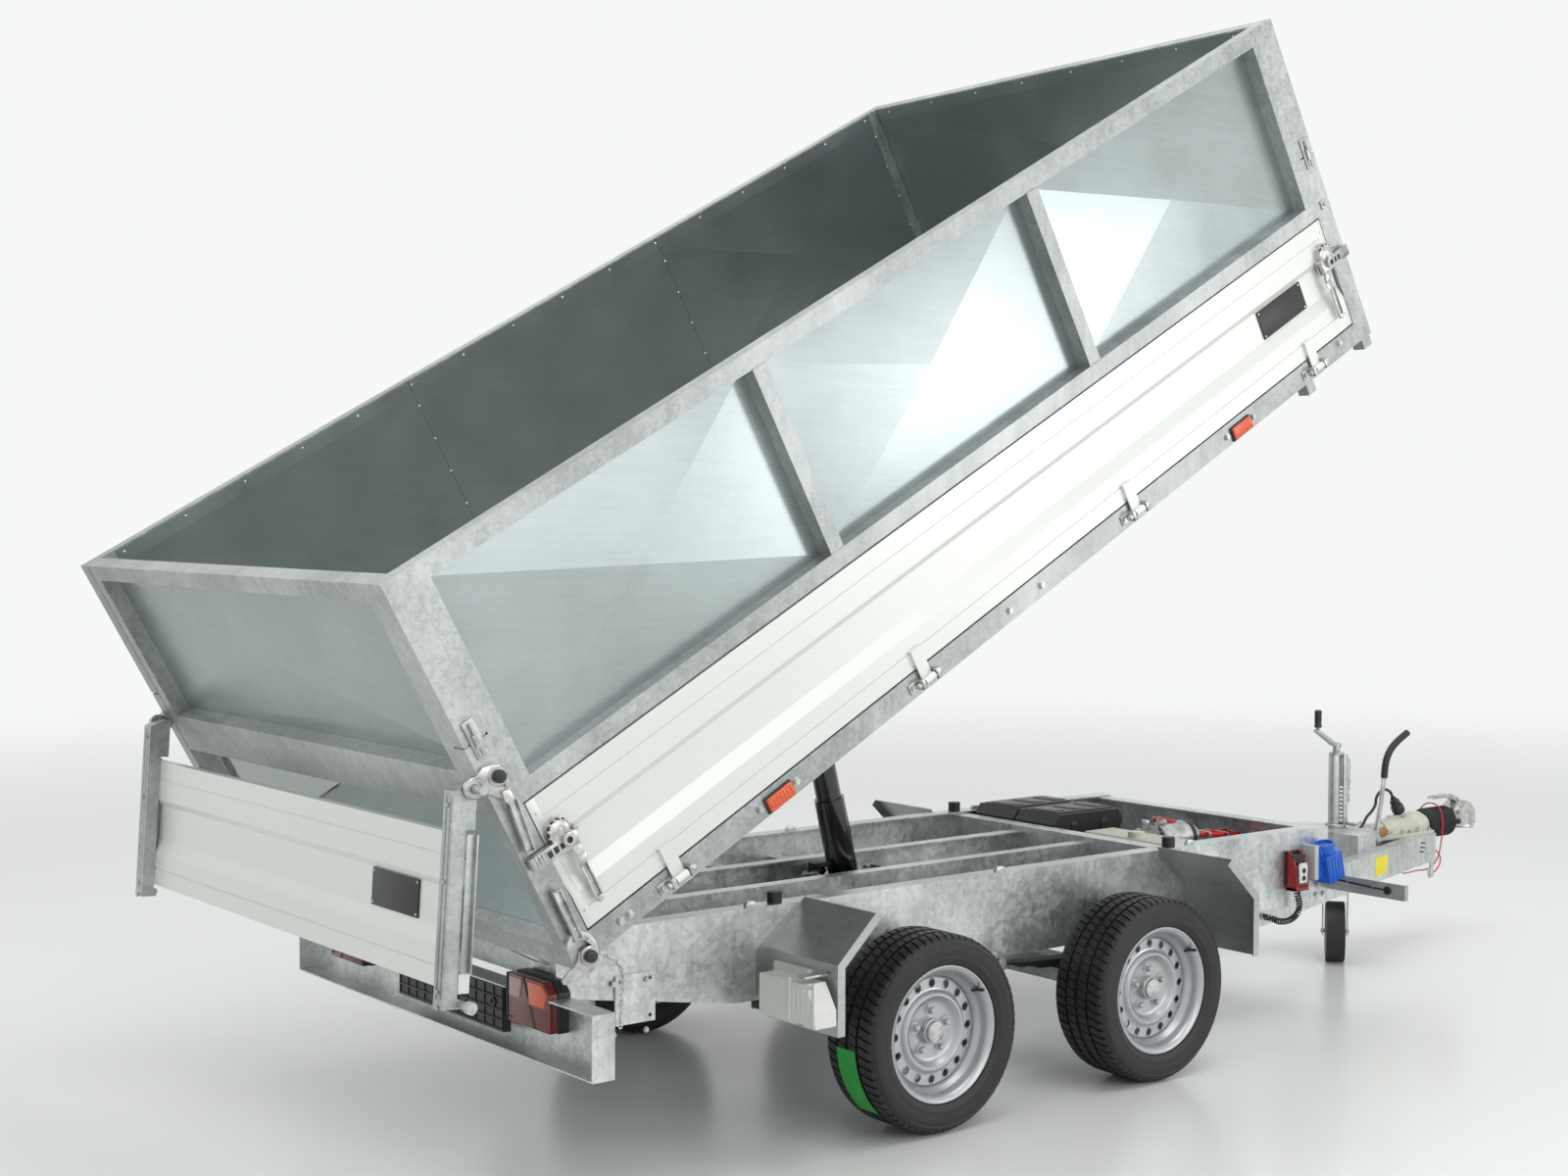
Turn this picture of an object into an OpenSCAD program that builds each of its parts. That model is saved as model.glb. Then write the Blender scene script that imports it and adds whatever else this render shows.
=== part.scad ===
/* [Load bed] */
// Length of the load bed, outside
bed_l = 3228; // [2600:2:3800]
// Width of the load bed, outside
bed_w = 1738; // [1500:2:2100]
// Height of the floor frame of the bed
frame_h = 60; // [50:1:90]
// Height of the drop sides above the floor frame
board_h = 336; // [250:2:450]
// Thickness of the drop sides
board_t = 27; // [22:1:32]
// Height of the sheet extension above the drop sides
extension_h = 588; // [300:2:800]
// Side of the square tubes of the extension
tube = 44; // [34:1:52]
// Width of a corner post along the bed
post_w = 66; // [50:1:90]
// Depth of a corner post across the bed
post_d = 46; // [38:1:60]
// Angle at which the bed is tipped
tip_angle = 28.9; // [10:0.1:42]
// Number of cross members under the bed floor
floor_bearers = 7; // [5:1:9]

/* [Tailgate] */
// Height of the tailgate panel
gate_h = 340; // [250:2:450]
// Distance of the upper pins above the top of the panel
gate_pin_rise = 102; // [70:1:140]
// Lean of the hanging tailgate from the vertical
gate_lean = 3.8; // [2:0.1:6]
// Reach of the pins beyond the side of the bed
pin_reach = 49; // [40:1:60]
// Diameter of the tailgate pins
gate_pin_d = 20; // [16:1:24]

/* [Chassis] */
// Height of the top of the side rails above the ground
rail_top = 606; // [560:1:680]
// Depth of a side rail
rail_h = 241; // [200:1:270]
// Half the width over the side rails
rail_y = 510; // [480:1:520]
// Width of the rail flanges
flange = 58; // [40:1:80]
// Sheet thickness of the side rails
rail_t = 5; // [4:0.5:8]
// Rear end of the side rails, from the rear axle
rail_rear = -1028; // [-1060:1:-980]
// Front end of the side rails, from the rear axle
rail_front = 1915; // [1800:1:2000]
// Thickness of the rubber pads that the bed rests on
pad_h = 30; // [20:1:40]

/* [Running gear] */
// Distance between the two axles
axle_gap = 837; // [780:1:900]
// Radius of a tyre
tyre_r = 262; // [245:1:275]
// Width of a tyre
tyre_w = 195; // [175:1:205]
// Half the track, to the middle of a tyre
half_track = 685; // [680:1:700]
// Radius of a rim over its flange
rim_r = 181; // [170:1:190]
// Side of the square axle tube
axle_tube = 70; // [60:1:76]
// Half the distance between the eyes of a leaf spring
spring_half = 378; // [340:1:385]
// Number of leaves of a spring
leaves = 4; // [3:1:5]

/* [Rear beam and lamps] */
// Half the width of the rear light beam
beam_y = 770; // [700:1:800]
// Height of the underside of the rear light beam
beam_z = 312; // [290:1:340]
// Height of the rear light beam
beam_h = 158; // [140:1:180]
// Depth of the rear light beam
beam_d = 62; // [50:1:80]

/* [Drawbar] */
// Height of the underside of the drawbar arms
arm_z = 311; // [290:1:330]
// Depth of the drawbar arms
arm_h = 105; // [90:1:115]
// Front end of the drawbar arms, from the rear axle
nose_x = 3136; // [3000:2:3300]
// Height of the middle of the tow ball socket
coupling_z = 432; // [420:1:450]
// Diameter of the tow ball socket
ball_d = 50.4; // [50:0.1:52]
// Distance of the jockey wheel tube behind the front of the drawbar
jockey_back = 520; // [480:1:560]
// Radius of the jockey wheel tyre
jockey_r = 107; // [90:1:110]
// Turn of the jockey wheel from straight ahead
jockey_turn = 40; // [0:1:60]

/* [Tipping cylinder] */
// Place of the cylinder's lower bearing, from the rear axle
cylinder_x = 295; // [280:1:310]
// Height of the cylinder's lower bearing
cylinder_z = 545; // [530:1:560]
// Outer diameter of the cylinder's base tube
cylinder_d = 112; // [104:1:118]
// Lengths of the stages, from the largest to the smallest
stage_l = [390, 330, 300, 276];
// Outer diameters of the stages, from the largest to the smallest
stage_d = [90, 76, 62, 48];

/* [Hidden] */

$fn = 48;
gap = 5;
fit = 0.3;
seat = 0.3;

// Places of the bed, in its own frame: u forward, y left, v up from the floor frame
half_w = bed_w / 2;
board_v = frame_h + gap;
board_top = board_v + board_h;
ext_v = board_top + gap;
ext_top = ext_v + extension_h;
pivot_u = 60;
pivot_v = -38;
pivot_x = rail_rear - 98;
pivot_z = rail_top + pad_h + gap + pivot_v;
pivot_y = rail_y - 70;
pivot_r = 24;
pivot_pin_d = 26;

// The tailgate's pins, in the bed's frame
gate_pin_u = -24;
gate_in_u = -gap;
gate_pin_v = board_top + gate_pin_rise;
gate_low_v = 38;

// The drop side hinges, in the bed's frame
hinge_u = [for (i = [0 : 3]) bed_l * (0.102 + 0.2695 * i)];
hinge_y = half_w + 16;
hinge_v = 28;
hinge_pin_d = 10;

// Sheets of the extension, the split of the corner posts and the stops below the frame
sheet_t = 2;
crease = 16;
lap = 0.3;
post_split = 585;
stop_u = bed_l - 320;
marker_u = 665;

// The chassis
jockey_x = nose_x - jockey_back;
rail_z = rail_top - rail_h;
rail_in = rail_y - rail_t;
origin_x = (coupling_front() - bed_rear()) / 2 + bed_rear();
function coupling_front() = nose_x + 300;
function bed_rear() = pivot_x - (pivot_u) * cos(tip_angle) - (ext_top - pivot_v) * sin(tip_angle) - 3;

// The cylinder's upper eye, in the bed's frame and from the rear axle
base_top = 14;
eye_u = 1480;
eye_v = -10;
eye_x = pivot_x + (eye_u - pivot_u) * cos(tip_angle) - (eye_v - pivot_v) * sin(tip_angle);
eye_z = pivot_z + (eye_u - pivot_u) * sin(tip_angle) + (eye_v - pivot_v) * cos(tip_angle);
cylinder_lean = atan((cylinder_x - eye_x) / (eye_z - cylinder_z));
cylinder_l = norm([eye_x - cylinder_x, eye_z - cylinder_z]);
stage_share = [0.31, 0.255, 0.227, 0.208];
eye_neck = 38;
stage_out = stage_share * (cylinder_l - base_top - eye_neck);

// Routes of the free cords: the first two from the drawbar's front, the third from the rails' front
lead = [[-466, -30, 462], [-436, -30, 462], [-396, -24, 474], [-351, -10, 500], [-306, 0, 518],
    [-280, 4, 540], [-276, 4, 562], [-260, 2, 582], [-230, 0, 592], [-198, 0, 580], [-182, 0, 558]];
lead_d = 11;
breakaway = [[-256, -100, 310.5], [-256, -100, 300], [-230, -88, 290], [-166, -66, 284], [-96, -50, 282],
    [-36, -44, 278], [4, -48, 290], [20, -62, 330], [28, -70, 400], [34, -68, 450], [44, -52, 496],
    [56, -20, 514], [62, 20, 514], [68, 54, 490], [74, 68, 444], [80, 60, 390], [86, 20, 350],
    [84, -20, 320], [54, -44, 292], [14, -49, 266], [-14, -49, 262]];
breakaway_d = 5;
curly = [[-187, -538, 423.5], [-187, -538, 404], [-179, -540, 372], [-189, -538, 344], [-219, -534, 328],
    [-255, -528, 326], [-279, -521, 334], [-290, -509, 340], [-295, -491.5, 340]];
curly_d = 22;

// Moves what is drawn from the rear axle to the part's own origin
module from_axle() {
    translate([-origin_x, 0, 0]) children();
}

module from_nose() {
    from_axle() translate([nose_x, 0, 0]) children();
}

// Moves what is drawn in the bed's frame to the tipped bed
module on_bed() {
    from_axle() translate([pivot_x, 0, pivot_z]) rotate([0, -tip_angle, 0])
        translate([-pivot_u, 0, -pivot_v]) children();
}

// Moves what is drawn on the closed tailgate to where it hangs
module on_gate() {
    on_bed() translate([gate_pin_u, 0, gate_pin_v]) rotate([0, tip_angle + gate_lean, 0])
        translate([-gate_pin_u, 0, -gate_pin_v]) children();
}

module both_sides() {
    children();
    mirror([0, 1, 0]) children();
}

// A box from its two corners
module block(a, b) {
    translate([min(a[0], b[0]), min(a[1], b[1]), min(a[2], b[2])])
        cube([abs(b[0] - a[0]), abs(b[1] - a[1]), abs(b[2] - a[2])]);
}

// A rod along Y, from y1 to y2, at x and z
module rod_y(d, x, z, y1, y2) {
    translate([x, y1, z]) rotate([-90, 0, 0]) cylinder(d = d, h = y2 - y1);
}

// Extrudes a profile that is drawn in X and Z from y1 to y2
module along_y(y1, y2) {
    translate([0, y2, 0]) rotate([90, 0, 0]) linear_extrude(y2 - y1) children();
}

// Extrudes a profile that is drawn in Y and Z from x1 to x2
module along_x(x1, x2) {
    translate([x1, 0, 0]) rotate([90, 0, 90]) linear_extrude(x2 - x1) children();
}

// A round bar through points that are drawn in X and Z, with a slightly thicker ball at each bend
module bent_bar(d, points) {
    for (i = [1 : len(points) - 1]) {
        a = points[i - 1];
        b = points[i];
        translate([a[0], 0, a[1]]) rotate([0, atan2(b[0] - a[0], b[1] - a[1]), 0])
            cylinder(d = d, h = norm(b - a));
        if (i < len(points) - 1) translate([b[0], 0, b[1]]) sphere(d = d + 1.2);
    }
}

// Holes of the accessory plates at the rear of the rails
plate_hole_x = [-845, -757];
plate_hole_z = [377, 471];
module side_rail() {
    difference() {
        block([rail_rear, rail_y, rail_z], [rail_front, rail_y - flange, rail_top]);
        block([rail_rear - 1, rail_in, rail_z + rail_t],
            [rail_front + 1, rail_y - flange - 1, rail_top - rail_t]);
        along_y(rail_y - flange - 1, rail_y + 1)
            polygon([[rail_rear - 1, rail_z - 1], [rail_rear - 1, rail_z + 88], [-480, rail_z - 1]]);
        for (x = plate_hole_x, z = plate_hole_z) rod_y(11, x, z, rail_y - 8, rail_y + 8);
    }
    // The lower flange of the tapered tail
    along_y(rail_y - flange, rail_in)
        polygon([[rail_rear, rail_z + 87.9], [rail_rear, rail_z + 93], [-500, rail_z + 5], [-486, rail_z]]);
}

module side_rails() {
    color("silver") from_axle() both_sides() side_rail();
}

module channel_across(x1, x2, z1, z2, y) {
    difference() {
        block([x1, -y, z1], [x2, y, z2]);
        block([x1 + rail_t, -y - 1, z1 + rail_t], [x2 + 1, y + 1, z2 - rail_t]);
    }
}

// A channel that lies along the bed, beside the cylinder
module long_beam(x1, x2) {
    difference() {
        block([x1, beam_in, cylinder_z - 71], [x2, beam_in + beam_w, cylinder_z + 38]);
        block([x1 - 1, beam_in - 1, cylinder_z - 66], [x2 + 1, beam_in + beam_w - 5, cylinder_z + 33]);
    }
}

cross_x = 1150;
cross_z = 420;
tray_z = 470;
beam_in = 126;
beam_w = 46;
cradle_half = 130;
module cross_members() {
    color("silver") from_axle() {
        channel_across(rail_rear + 4, rail_rear + 74, rail_top - 120, rail_top - 6, rail_in);
        channel_across(cross_x, cross_x + 60, cross_z, rail_top - rail_t - 1, rail_in);
        translate([2 * rail_front - 75, 0, 0]) mirror([1, 0, 0])
            channel_across(rail_front - 70, rail_front - 10, rail_z + 20, rail_top - rail_t - 1, rail_in);
        block([cross_x + 60, -rail_in, tray_z - 3], [rail_front - 65, rail_in, tray_z]);
        for (x = [cylinder_x - cradle_half, cylinder_x + cradle_half]) {
            block([x - 25, seat - beam_in, cylinder_z - 70], [x + 25, beam_in - seat, cylinder_z - 20]);
            both_sides() block([x - 25, beam_in + beam_w + seat, cylinder_z - 70],
                [x + 25, rail_in, cylinder_z - 20]);
        }
        both_sides() long_beam(rail_rear + 74 + seat, cross_x - seat);
    }
}

pad_x = [-340, cross_x + 30];
module rubber_pads() {
    color("dimgray") from_axle() both_sides() for (x = pad_x)
        translate([x, rail_y - 28, rail_top]) cylinder(d = 40, h = pad_h);
}

// Two lugs behind each rail, with the pin on which the bed tips
module pivot_brackets() {
    color("silver") from_axle() both_sides() {
        for (y = [pivot_y - 24, pivot_y + 24]) along_y(y - 6, y + 6) {
            translate([pivot_x, pivot_z]) circle(r = pivot_r);
            polygon([[pivot_x - 18, pivot_z - 14], [pivot_x + 4, pivot_z + pivot_r - 0.5],
                [rail_rear + 4, rail_top - 10], [rail_rear + 4, rail_top - 80]]);
        }
        rod_y(pivot_pin_d, pivot_x, pivot_z, pivot_y - 36, pivot_y + 36);
    }
}

module cylinder_cradle() {
    color("gray") from_axle() {
        difference() {
            union() {
                translate([cylinder_x, 0, cylinder_z - 20]) cylinder(r = 100, h = 28);
                for (s = [-1, 1]) block([cylinder_x + s * 90, -56, cylinder_z - 20],
                    [cylinder_x + s * (cradle_half + 25), 56, cylinder_z - 8]);
            }
            translate([cylinder_x, 0, cylinder_z - 30]) cylinder(d = cylinder_d + 44, h = 60);
            rod_y(30 + 2 * fit, cylinder_x, cylinder_z, -130, 130);
        }
        both_sides() difference() {
            block([cylinder_x - 40, 94, cylinder_z - 20], [cylinder_x + 40, 120, cylinder_z + 26]);
            rod_y(30 + 2 * fit, cylinder_x, cylinder_z, 80, 130);
        }
    }
}

arm_y = 56;
arm_slope = 16;
arm_w = 50;
function arm_in(x) = arm_y + (nose_x - x) * tan(arm_slope) - arm_w / cos(arm_slope);
module drawbar_arm() {
    arm_l = (nose_x - rail_front + 415) / cos(arm_slope);
    translate([nose_x, arm_y, arm_z]) rotate([0, 0, 180 - arm_slope]) difference() {
        cube([arm_l, arm_w, arm_h]);
        translate([(nose_x - rail_front - 12) / cos(arm_slope), -1, rail_z - arm_z])
            cube([arm_l, arm_w + 2, arm_h]);
    }
}

module drawbar() {
    color("silver") from_axle() {
        difference() {
            union() {
                both_sides() drawbar_arm();
                block([nose_x - 130, -arm_y - 8, arm_z], [nose_x, arm_y + 8, arm_z + arm_h]);
                translate([0, 0, arm_z + 60]) linear_extrude(108) polygon([
                    [jockey_x - 120, arm_in(jockey_x - 120) + 4], [jockey_x + 44, arm_in(jockey_x + 44) + 4],
                    [jockey_x + 44, -arm_in(jockey_x + 44) - 4], [jockey_x - 120, -arm_in(jockey_x - 120) - 4]]);
                block([nose_x - 24, -58, arm_z - 60], [nose_x - 4, -52, arm_z + 1]);
                rod_x(18, jockey_x + 43, jockey_x + 54 - seat, lead[0][1], lead[0][2]);
            }
            translate([jockey_x, 0, arm_z - 10]) cylinder(d = 62 + 2 * fit, h = 300);
            block([nose_x - 126, -arm_y + 30, arm_z - 1], [nose_x - 6, arm_y - 30, arm_z + arm_h - 20]);
        }
    }
}

housing_z = arm_z + arm_h;
shaft_z = coupling_z + 12;
module overrun_housing() {
    color("beige") from_axle() difference() {
        union() {
            block([nose_x - 430, -60, housing_z], [nose_x - 7, 60, housing_z + 12]);
            rod_x(56, nose_x - 440, nose_x - 250, 0, shaft_z);
            translate([nose_x - 262, 0, shaft_z]) rotate([0, 90, 0]) cylinder(d1 = 66, d2 = 84, h = 60);
            translate([nose_x - 202.1, 0, shaft_z]) rotate([0, 90, 0]) cylinder(d = 84, h = 150);
            translate([nose_x - 60, 0, shaft_z]) rotate([0, 90, 0]) cylinder(d = 104, h = 22);
            translate([nose_x - 38.1, 0, shaft_z]) rotate([0, 90, 0]) cylinder(d = 78, h = 32);
            for (x = [nose_x - 190, nose_x - 96]) block([x, -58, housing_z + 8], [x + 12, 58, shaft_z]);
            block([nose_x - 240, -24, housing_z + 8], [nose_x - 30, 24, shaft_z]);
        }
        block([nose_x - 320, -70, housing_z - 80], [nose_x, 70, housing_z + seat]);
    }
}

module bellows() {
    color("dimgray") from_axle() translate([nose_x + seat, 0, shaft_z]) rotate([0, 90, 0])
        rotate_extrude() polygon(concat([[25.3, 150], [25.3, 0]],
            [for (i = [0 : 16]) [i % 2 == 0 ? 42 : 57 - 0.5 * i, i * 150 / 16]]));
}

// Rings of a swept tube: places on a smooth curve through the points, steps a stretch
function curve(p, i, t) = let (a = p[max(i - 1, 0)], b = p[i], c = p[i + 1], d = p[min(i + 2, len(p) - 1)])
    0.5 * (2 * b + (c - a) * t + (2 * a - 5 * b + 4 * c - d) * t * t + (3 * b - a - 3 * c + d) * t * t * t);
function places(p, steps) = concat([for (i = [0 : len(p) - 2], k = [0 : steps - 1]) curve(p, i, k / steps)],
    [p[len(p) - 1]]);
function unit(v) = v / norm(v);
function heading(q, i) = unit(q[min(i + 1, len(q) - 1)] - q[max(i - 1, 0)]);
// Each ring's first side is the last ring's, carried along the curve without a twist
function sides(q, i) = i == 0 ? unit(cross(heading(q, 0), [0.3, 0.9, 0.2]))
    : let (was = sides(q, i - 1), h = heading(q, i)) unit(was - h * (was * h));

module swept(points, d, steps) {
    q = places(points, steps);
    n = 8;
    last = len(q) - 1;
    rings = [for (i = [0 : last]) let (a = sides(q, i), b = cross(heading(q, i), a))
        for (k = [0 : n - 1]) q[i] + d / 2 * (cos(k * 360 / n) * a + sin(k * 360 / n) * b)];
    walls = [for (i = [0 : last - 1], k = [0 : n - 1])
        [i * n + k, i * n + (k + 1) % n, (i + 1) * n + (k + 1) % n, (i + 1) * n + k]];
    polyhedron(rings, concat([[for (k = [0 : n - 1]) n - 1 - k]], walls,
        [[for (k = [0 : n - 1]) last * n + k]]));
}

module plug_lead() { color("dimgray") from_nose() swept(lead, lead_d, 2); }
module breakaway_cable() { color("firebrick") from_nose() swept(breakaway, breakaway_d, 2); }
module control_lead() { color("dimgray") from_axle() translate([rail_front, 0, 0]) swept(curly, curly_d, 2); }

// The plug stands on the housing, with its nose down and forward
plug_lean = 36;
module lead_plug() {
    end = lead[len(lead) - 1];
    color("dimgray") from_nose() translate(end) rotate([0, 180 - plug_lean, 0]) {
        translate([0, 0, seat]) cylinder(d = 22, h = 14);
        translate([0, 0, 14]) cylinder(d = 36, h = 26);
        translate([0, 0, 39.8]) cylinder(d = 46, h = 31);
    }
}

module coupling_head() {
    ball_x = nose_x + 256;
    color("silver") from_axle() {
        translate([nose_x - 5.5, 0, shaft_z]) rotate([0, 90, 0]) cylinder(d = 50, h = 210);
        difference() {
            union() {
                along_y(-30, 30) polygon([[nose_x + 156, coupling_z - 8], [nose_x + 156, coupling_z + 60],
                    [nose_x + 214, coupling_z + 88], [nose_x + 262, coupling_z + 76],
                    [nose_x + 298, coupling_z + 40], [nose_x + 298, coupling_z - 8],
                    [nose_x + 232, coupling_z - 16]]);
                translate([ball_x, 0, coupling_z - 20]) cylinder(r = 42, h = 56);
            }
            translate([ball_x, 0, coupling_z]) sphere(d = ball_d);
            translate([ball_x, 0, coupling_z - 30]) cylinder(d = ball_d, h = 30);
        }
        along_y(-13, 13) polygon([[nose_x + 46, coupling_z + 102], [nose_x + 60, coupling_z + 112],
            [nose_x + 160, coupling_z + 114], [nose_x + 216, coupling_z + 94], [nose_x + 216, coupling_z + 76],
            [nose_x + 158, coupling_z + 98]]);
    }
}

lever_x = nose_x - 380;
lever_z = arm_z + 114;
module handbrake_lever() {
    color("dimgray") from_axle() translate([0, -72, lever_z]) {
        rod_y(50, lever_x, 0, -8, 12 - seat);
        translate([lever_x, 0, 0]) {
            along_y(-5, 5) polygon([[-10, 0], [10, 0], [57, 240], [43, 240]]);
            bent_bar(26, [[50, 234], [60, 290], [90, 336], [186, 380]]);
        }
    }
}

fork_top = 2 * jockey_r + 40;
module jockey_tube() {
    color("silver") from_axle() {
        difference() {
            translate([jockey_x, 0, fork_top + 2]) cylinder(d = 62, h = 708 - fork_top);
            translate([jockey_x, 0, fork_top]) cylinder(d = 30 + 2 * fit, h = 80);
        }
        translate([jockey_x, 0, 709.9]) cylinder(d = 52, h = 40);
        translate([jockey_x, 0, 749.8]) cylinder(d = 26, h = 34);
        along_y(-10, 10) polygon([[jockey_x + 16, 770], [jockey_x + 16, 784], [jockey_x - 20, 790],
            [jockey_x - 118, 842], [jockey_x - 122, 832], [jockey_x - 24, 776]]);
        translate([jockey_x - 106, 0, 830]) cylinder(d = 15, h = 20);
        translate([jockey_x - 106, 0, 849.9]) cylinder(d = 26, h = 62);
    }
}

beam_x = rail_rear - 64;
module rear_beam() {
    color("silver") from_axle() {
        difference() {
            block([beam_x, -beam_y, beam_z], [beam_x + beam_d, beam_y, beam_z + beam_h]);
            block([beam_x - 1, -beam_y + 4, beam_z + 4], [beam_x + beam_d - 4, beam_y - 4, beam_z + beam_h - 4]);
            for (s = [-1, 1]) block([beam_x - 1, s * 480 - 100, beam_z + beam_h - 6],
                [beam_x + beam_d - 4, s * 480 + 100, beam_z + beam_h + 1]);
        }
        both_sides() {
            block([beam_x + beam_d - 1, rail_y - flange - 6, beam_z + 60],
                [rail_rear + 150, rail_y - flange, beam_z + beam_h]);
            difference() {
                block([plate_hole_x[0] - 15, rail_y + seat, 362], [plate_hole_x[1] + 15, rail_y + 6, 486]);
                for (x = plate_hole_x, z = plate_hole_z) rod_y(11, x, z, rail_y - 1, rail_y + 8);
            }
        }
    }
}

module tail_lamps() {
    color("firebrick") from_axle() both_sides() along_x(beam_x + 4, beam_x + beam_d - 4) polygon([[386, beam_z + 75],
        [576, beam_z + 75], [576, beam_z + 168], [548, beam_z + 195], [386, beam_z + 195]]);
}

module plate_holder() {
    color("dimgray") from_axle()
        block([beam_x + 14, -350, beam_z + 36], [beam_x + 34, 190, beam_z + beam_h - 4]);
}

// A bent sheet around a wheel, and the edge of it that stands out as a lip
module guard_profile(x0, s, t) {
    polygon([[x0 + s * 262, 617], [x0 + s * 386, 499], [x0 + s * 386, 318], [x0 + s * (386 - t), 318],
        [x0 + s * (386 - t), 499 - t * 0.4], [x0 + s * (262 - t * 0.7), 617 - t * 0.7]]);
}

guard_plate = [[284, 604], [426, 496], [426, 378], [384, 378], [384, 484], [266, 590]];
module spray_guards() {
    color("gray") from_axle() both_sides() for (w = [[0, -1], [axle_gap, 1]]) {
        along_y(rail_y + seat, 800) guard_profile(w[0], w[1], 3);
        along_y(797, 800) guard_profile(w[0], w[1], 24);
        along_y(rail_y + seat, rail_y + 3.3) polygon([for (p = guard_plate) [w[0] + w[1] * p[0], p[1]]]);
    }
}

module wheel_chocks() {
    color("whitesmoke") from_axle() both_sides() {
        block([-402, rail_y + 50, 372], [-386 - seat, rail_y + 190, 474]);
        along_x(-468, -401) translate([rail_y, 352]) polygon([[75, 0], [302, 0], [302, 40], [260, 104], [75, 104]]);
    }
}

spring_y = rail_y - 31;
spring_z = tyre_r + axle_tube / 2 + seat;
camber = 20;
spring_r = (spring_half * spring_half + camber * camber) / (2 * camber);
leaf_t = 7;
leaf_w = 50;
module leaf_spring(x) {
    eye_at = spring_z + camber + leaves * leaf_t - 2;
    difference() {
        spring_body(x, eye_at);
        for (s = [-1, 1]) rod_y(16, x + s * spring_half, eye_at, spring_y - leaf_w, spring_y + leaf_w);
    }
}

module spring_body(x, eye_at) {
    for (i = [0 : leaves - 1]) {
        w = spring_half * (1 - 0.2 * (leaves - 1 - i));
        along_y(spring_y - leaf_w / 2, spring_y + leaf_w / 2) intersection() {
            translate([x, spring_z + spring_r]) difference() {
                circle(r = spring_r - i * leaf_t, $fn = 360);
                circle(r = spring_r - (i + 1) * leaf_t, $fn = 360);
            }
            translate([x - w, spring_z - 10]) square([2 * w, 200]);
        }
    }
    for (s = [-1, 1]) rod_y(32, x + s * spring_half, eye_at, spring_y - leaf_w / 2, spring_y + leaf_w / 2);
}

module leaf_springs() {
    color("dimgray") from_axle() both_sides() for (x = [0, axle_gap]) leaf_spring(x);
}

module spring_hangers() {
    color("silver") from_axle() both_sides() for (x = [0, axle_gap], s = [-1, 1]) {
        ex = x + s * spring_half;
        ez = spring_z + camber + leaves * leaf_t - 2;
        rod_y(16 - fit, ex, ez, spring_y - leaf_w / 2 - 8, spring_y + leaf_w / 2 + 5.8);
        for (t = [-1, 1]) block([ex - 14, spring_y + t * (leaf_w / 2 + 1), ez - 16],
            [ex + 14, spring_y + t * (leaf_w / 2 + 6), rail_z]);
    }
}

module axles() {
    color("silver") from_axle() for (x = [0, axle_gap]) {
        block([x - axle_tube / 2, -(half_track - 100), tyre_r - axle_tube / 2],
            [x + axle_tube / 2, half_track - 100, tyre_r + axle_tube / 2]);
        both_sides() {
            rod_y(236, x, tyre_r, half_track - 100, half_track - 90);
            rod_y(40, x, tyre_r, half_track - 90.1, half_track + 15);
        }
    }
}

box_x = cross_x + 90;
module battery_box() {
    color("dimgray") from_axle() translate([box_x, 0, tray_z]) for (y = [62, 256]) {
        block([4, y + 4, seat], [316, y + 182, 110]);
        along_y(y, y + 186) polygon([[0, 110], [320, 110], [320, 130], [296, 162], [24, 162], [0, 130]]);
    }
}

module pump_motor() {
    color("silver") from_axle() translate([box_x, 0, tray_z]) {
        rod_x(108, 202, 370, -170, 90);
        rod_x(72, 369, 400, -170, 90);
        block([180, -214, seat], [220, -126, 126]);
        block([219, -200, seat], [400, -140, 46]);
    }
}

module oil_tank() {
    color("beige") from_axle() translate([box_x, 0, tray_z]) {
        along_y(64 - rail_y, -60)
            polygon([[0, seat], [160, seat], [160, 110], [144, 126], [16, 126], [0, 110]]);
        translate([50, -250, 125]) cylinder(d = 54, h = 19);
    }
}

module power_inlet() {
    color("royalblue") from_axle() {
        block([rail_front - 129, -rail_y - 52, 452], [rail_front - 79, -rail_y - seat, 556]);
        translate([rail_front - 51, -rail_y - 36, 498]) rotate([0, -14, 0]) {
            block([-42, -36, -56], [36, 34, 30]);
            translate([-3, -1, 29.9]) cylinder(d = 66, h = 30);
        }
    }
}

module remote_control() {
    color("firebrick") from_axle() translate([rail_front - 221, -rail_y, 0]) {
        block([0, -8, 440], [72, -seat, 545]);
        block([8, -46, 424], [62, -7, 500]);
        block([6, -34, 506], [64, -7, 534]);
    }
}

module marker_brackets() {
    color("gray") from_axle() both_sides() {
        block([rail_front + seat, rail_y - 80, 402], [rail_front + 4, 808, 452]);
        block([rail_front + seat, 804, 402], [rail_front + 18, 808, 452]);
    }
}

module tyre_at(x, s) {
    from_axle() translate([x, s * half_track, tyre_r]) rotate([90, 0, 0]) rotate_extrude($fn = 96)
        for (m = [0, 1]) mirror([0, m]) polygon([[rim_r - 15.7, -0.1], [rim_r - 15.7, 78.5], [rim_r + 2, 78.5],
            [rim_r + 2, 86], [rim_r + 30, tyre_w / 2], [tyre_r - 16, tyre_w / 2 - 6], [tyre_r, tyre_w / 2 - 28], [tyre_r, -0.1]]);
}

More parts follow.
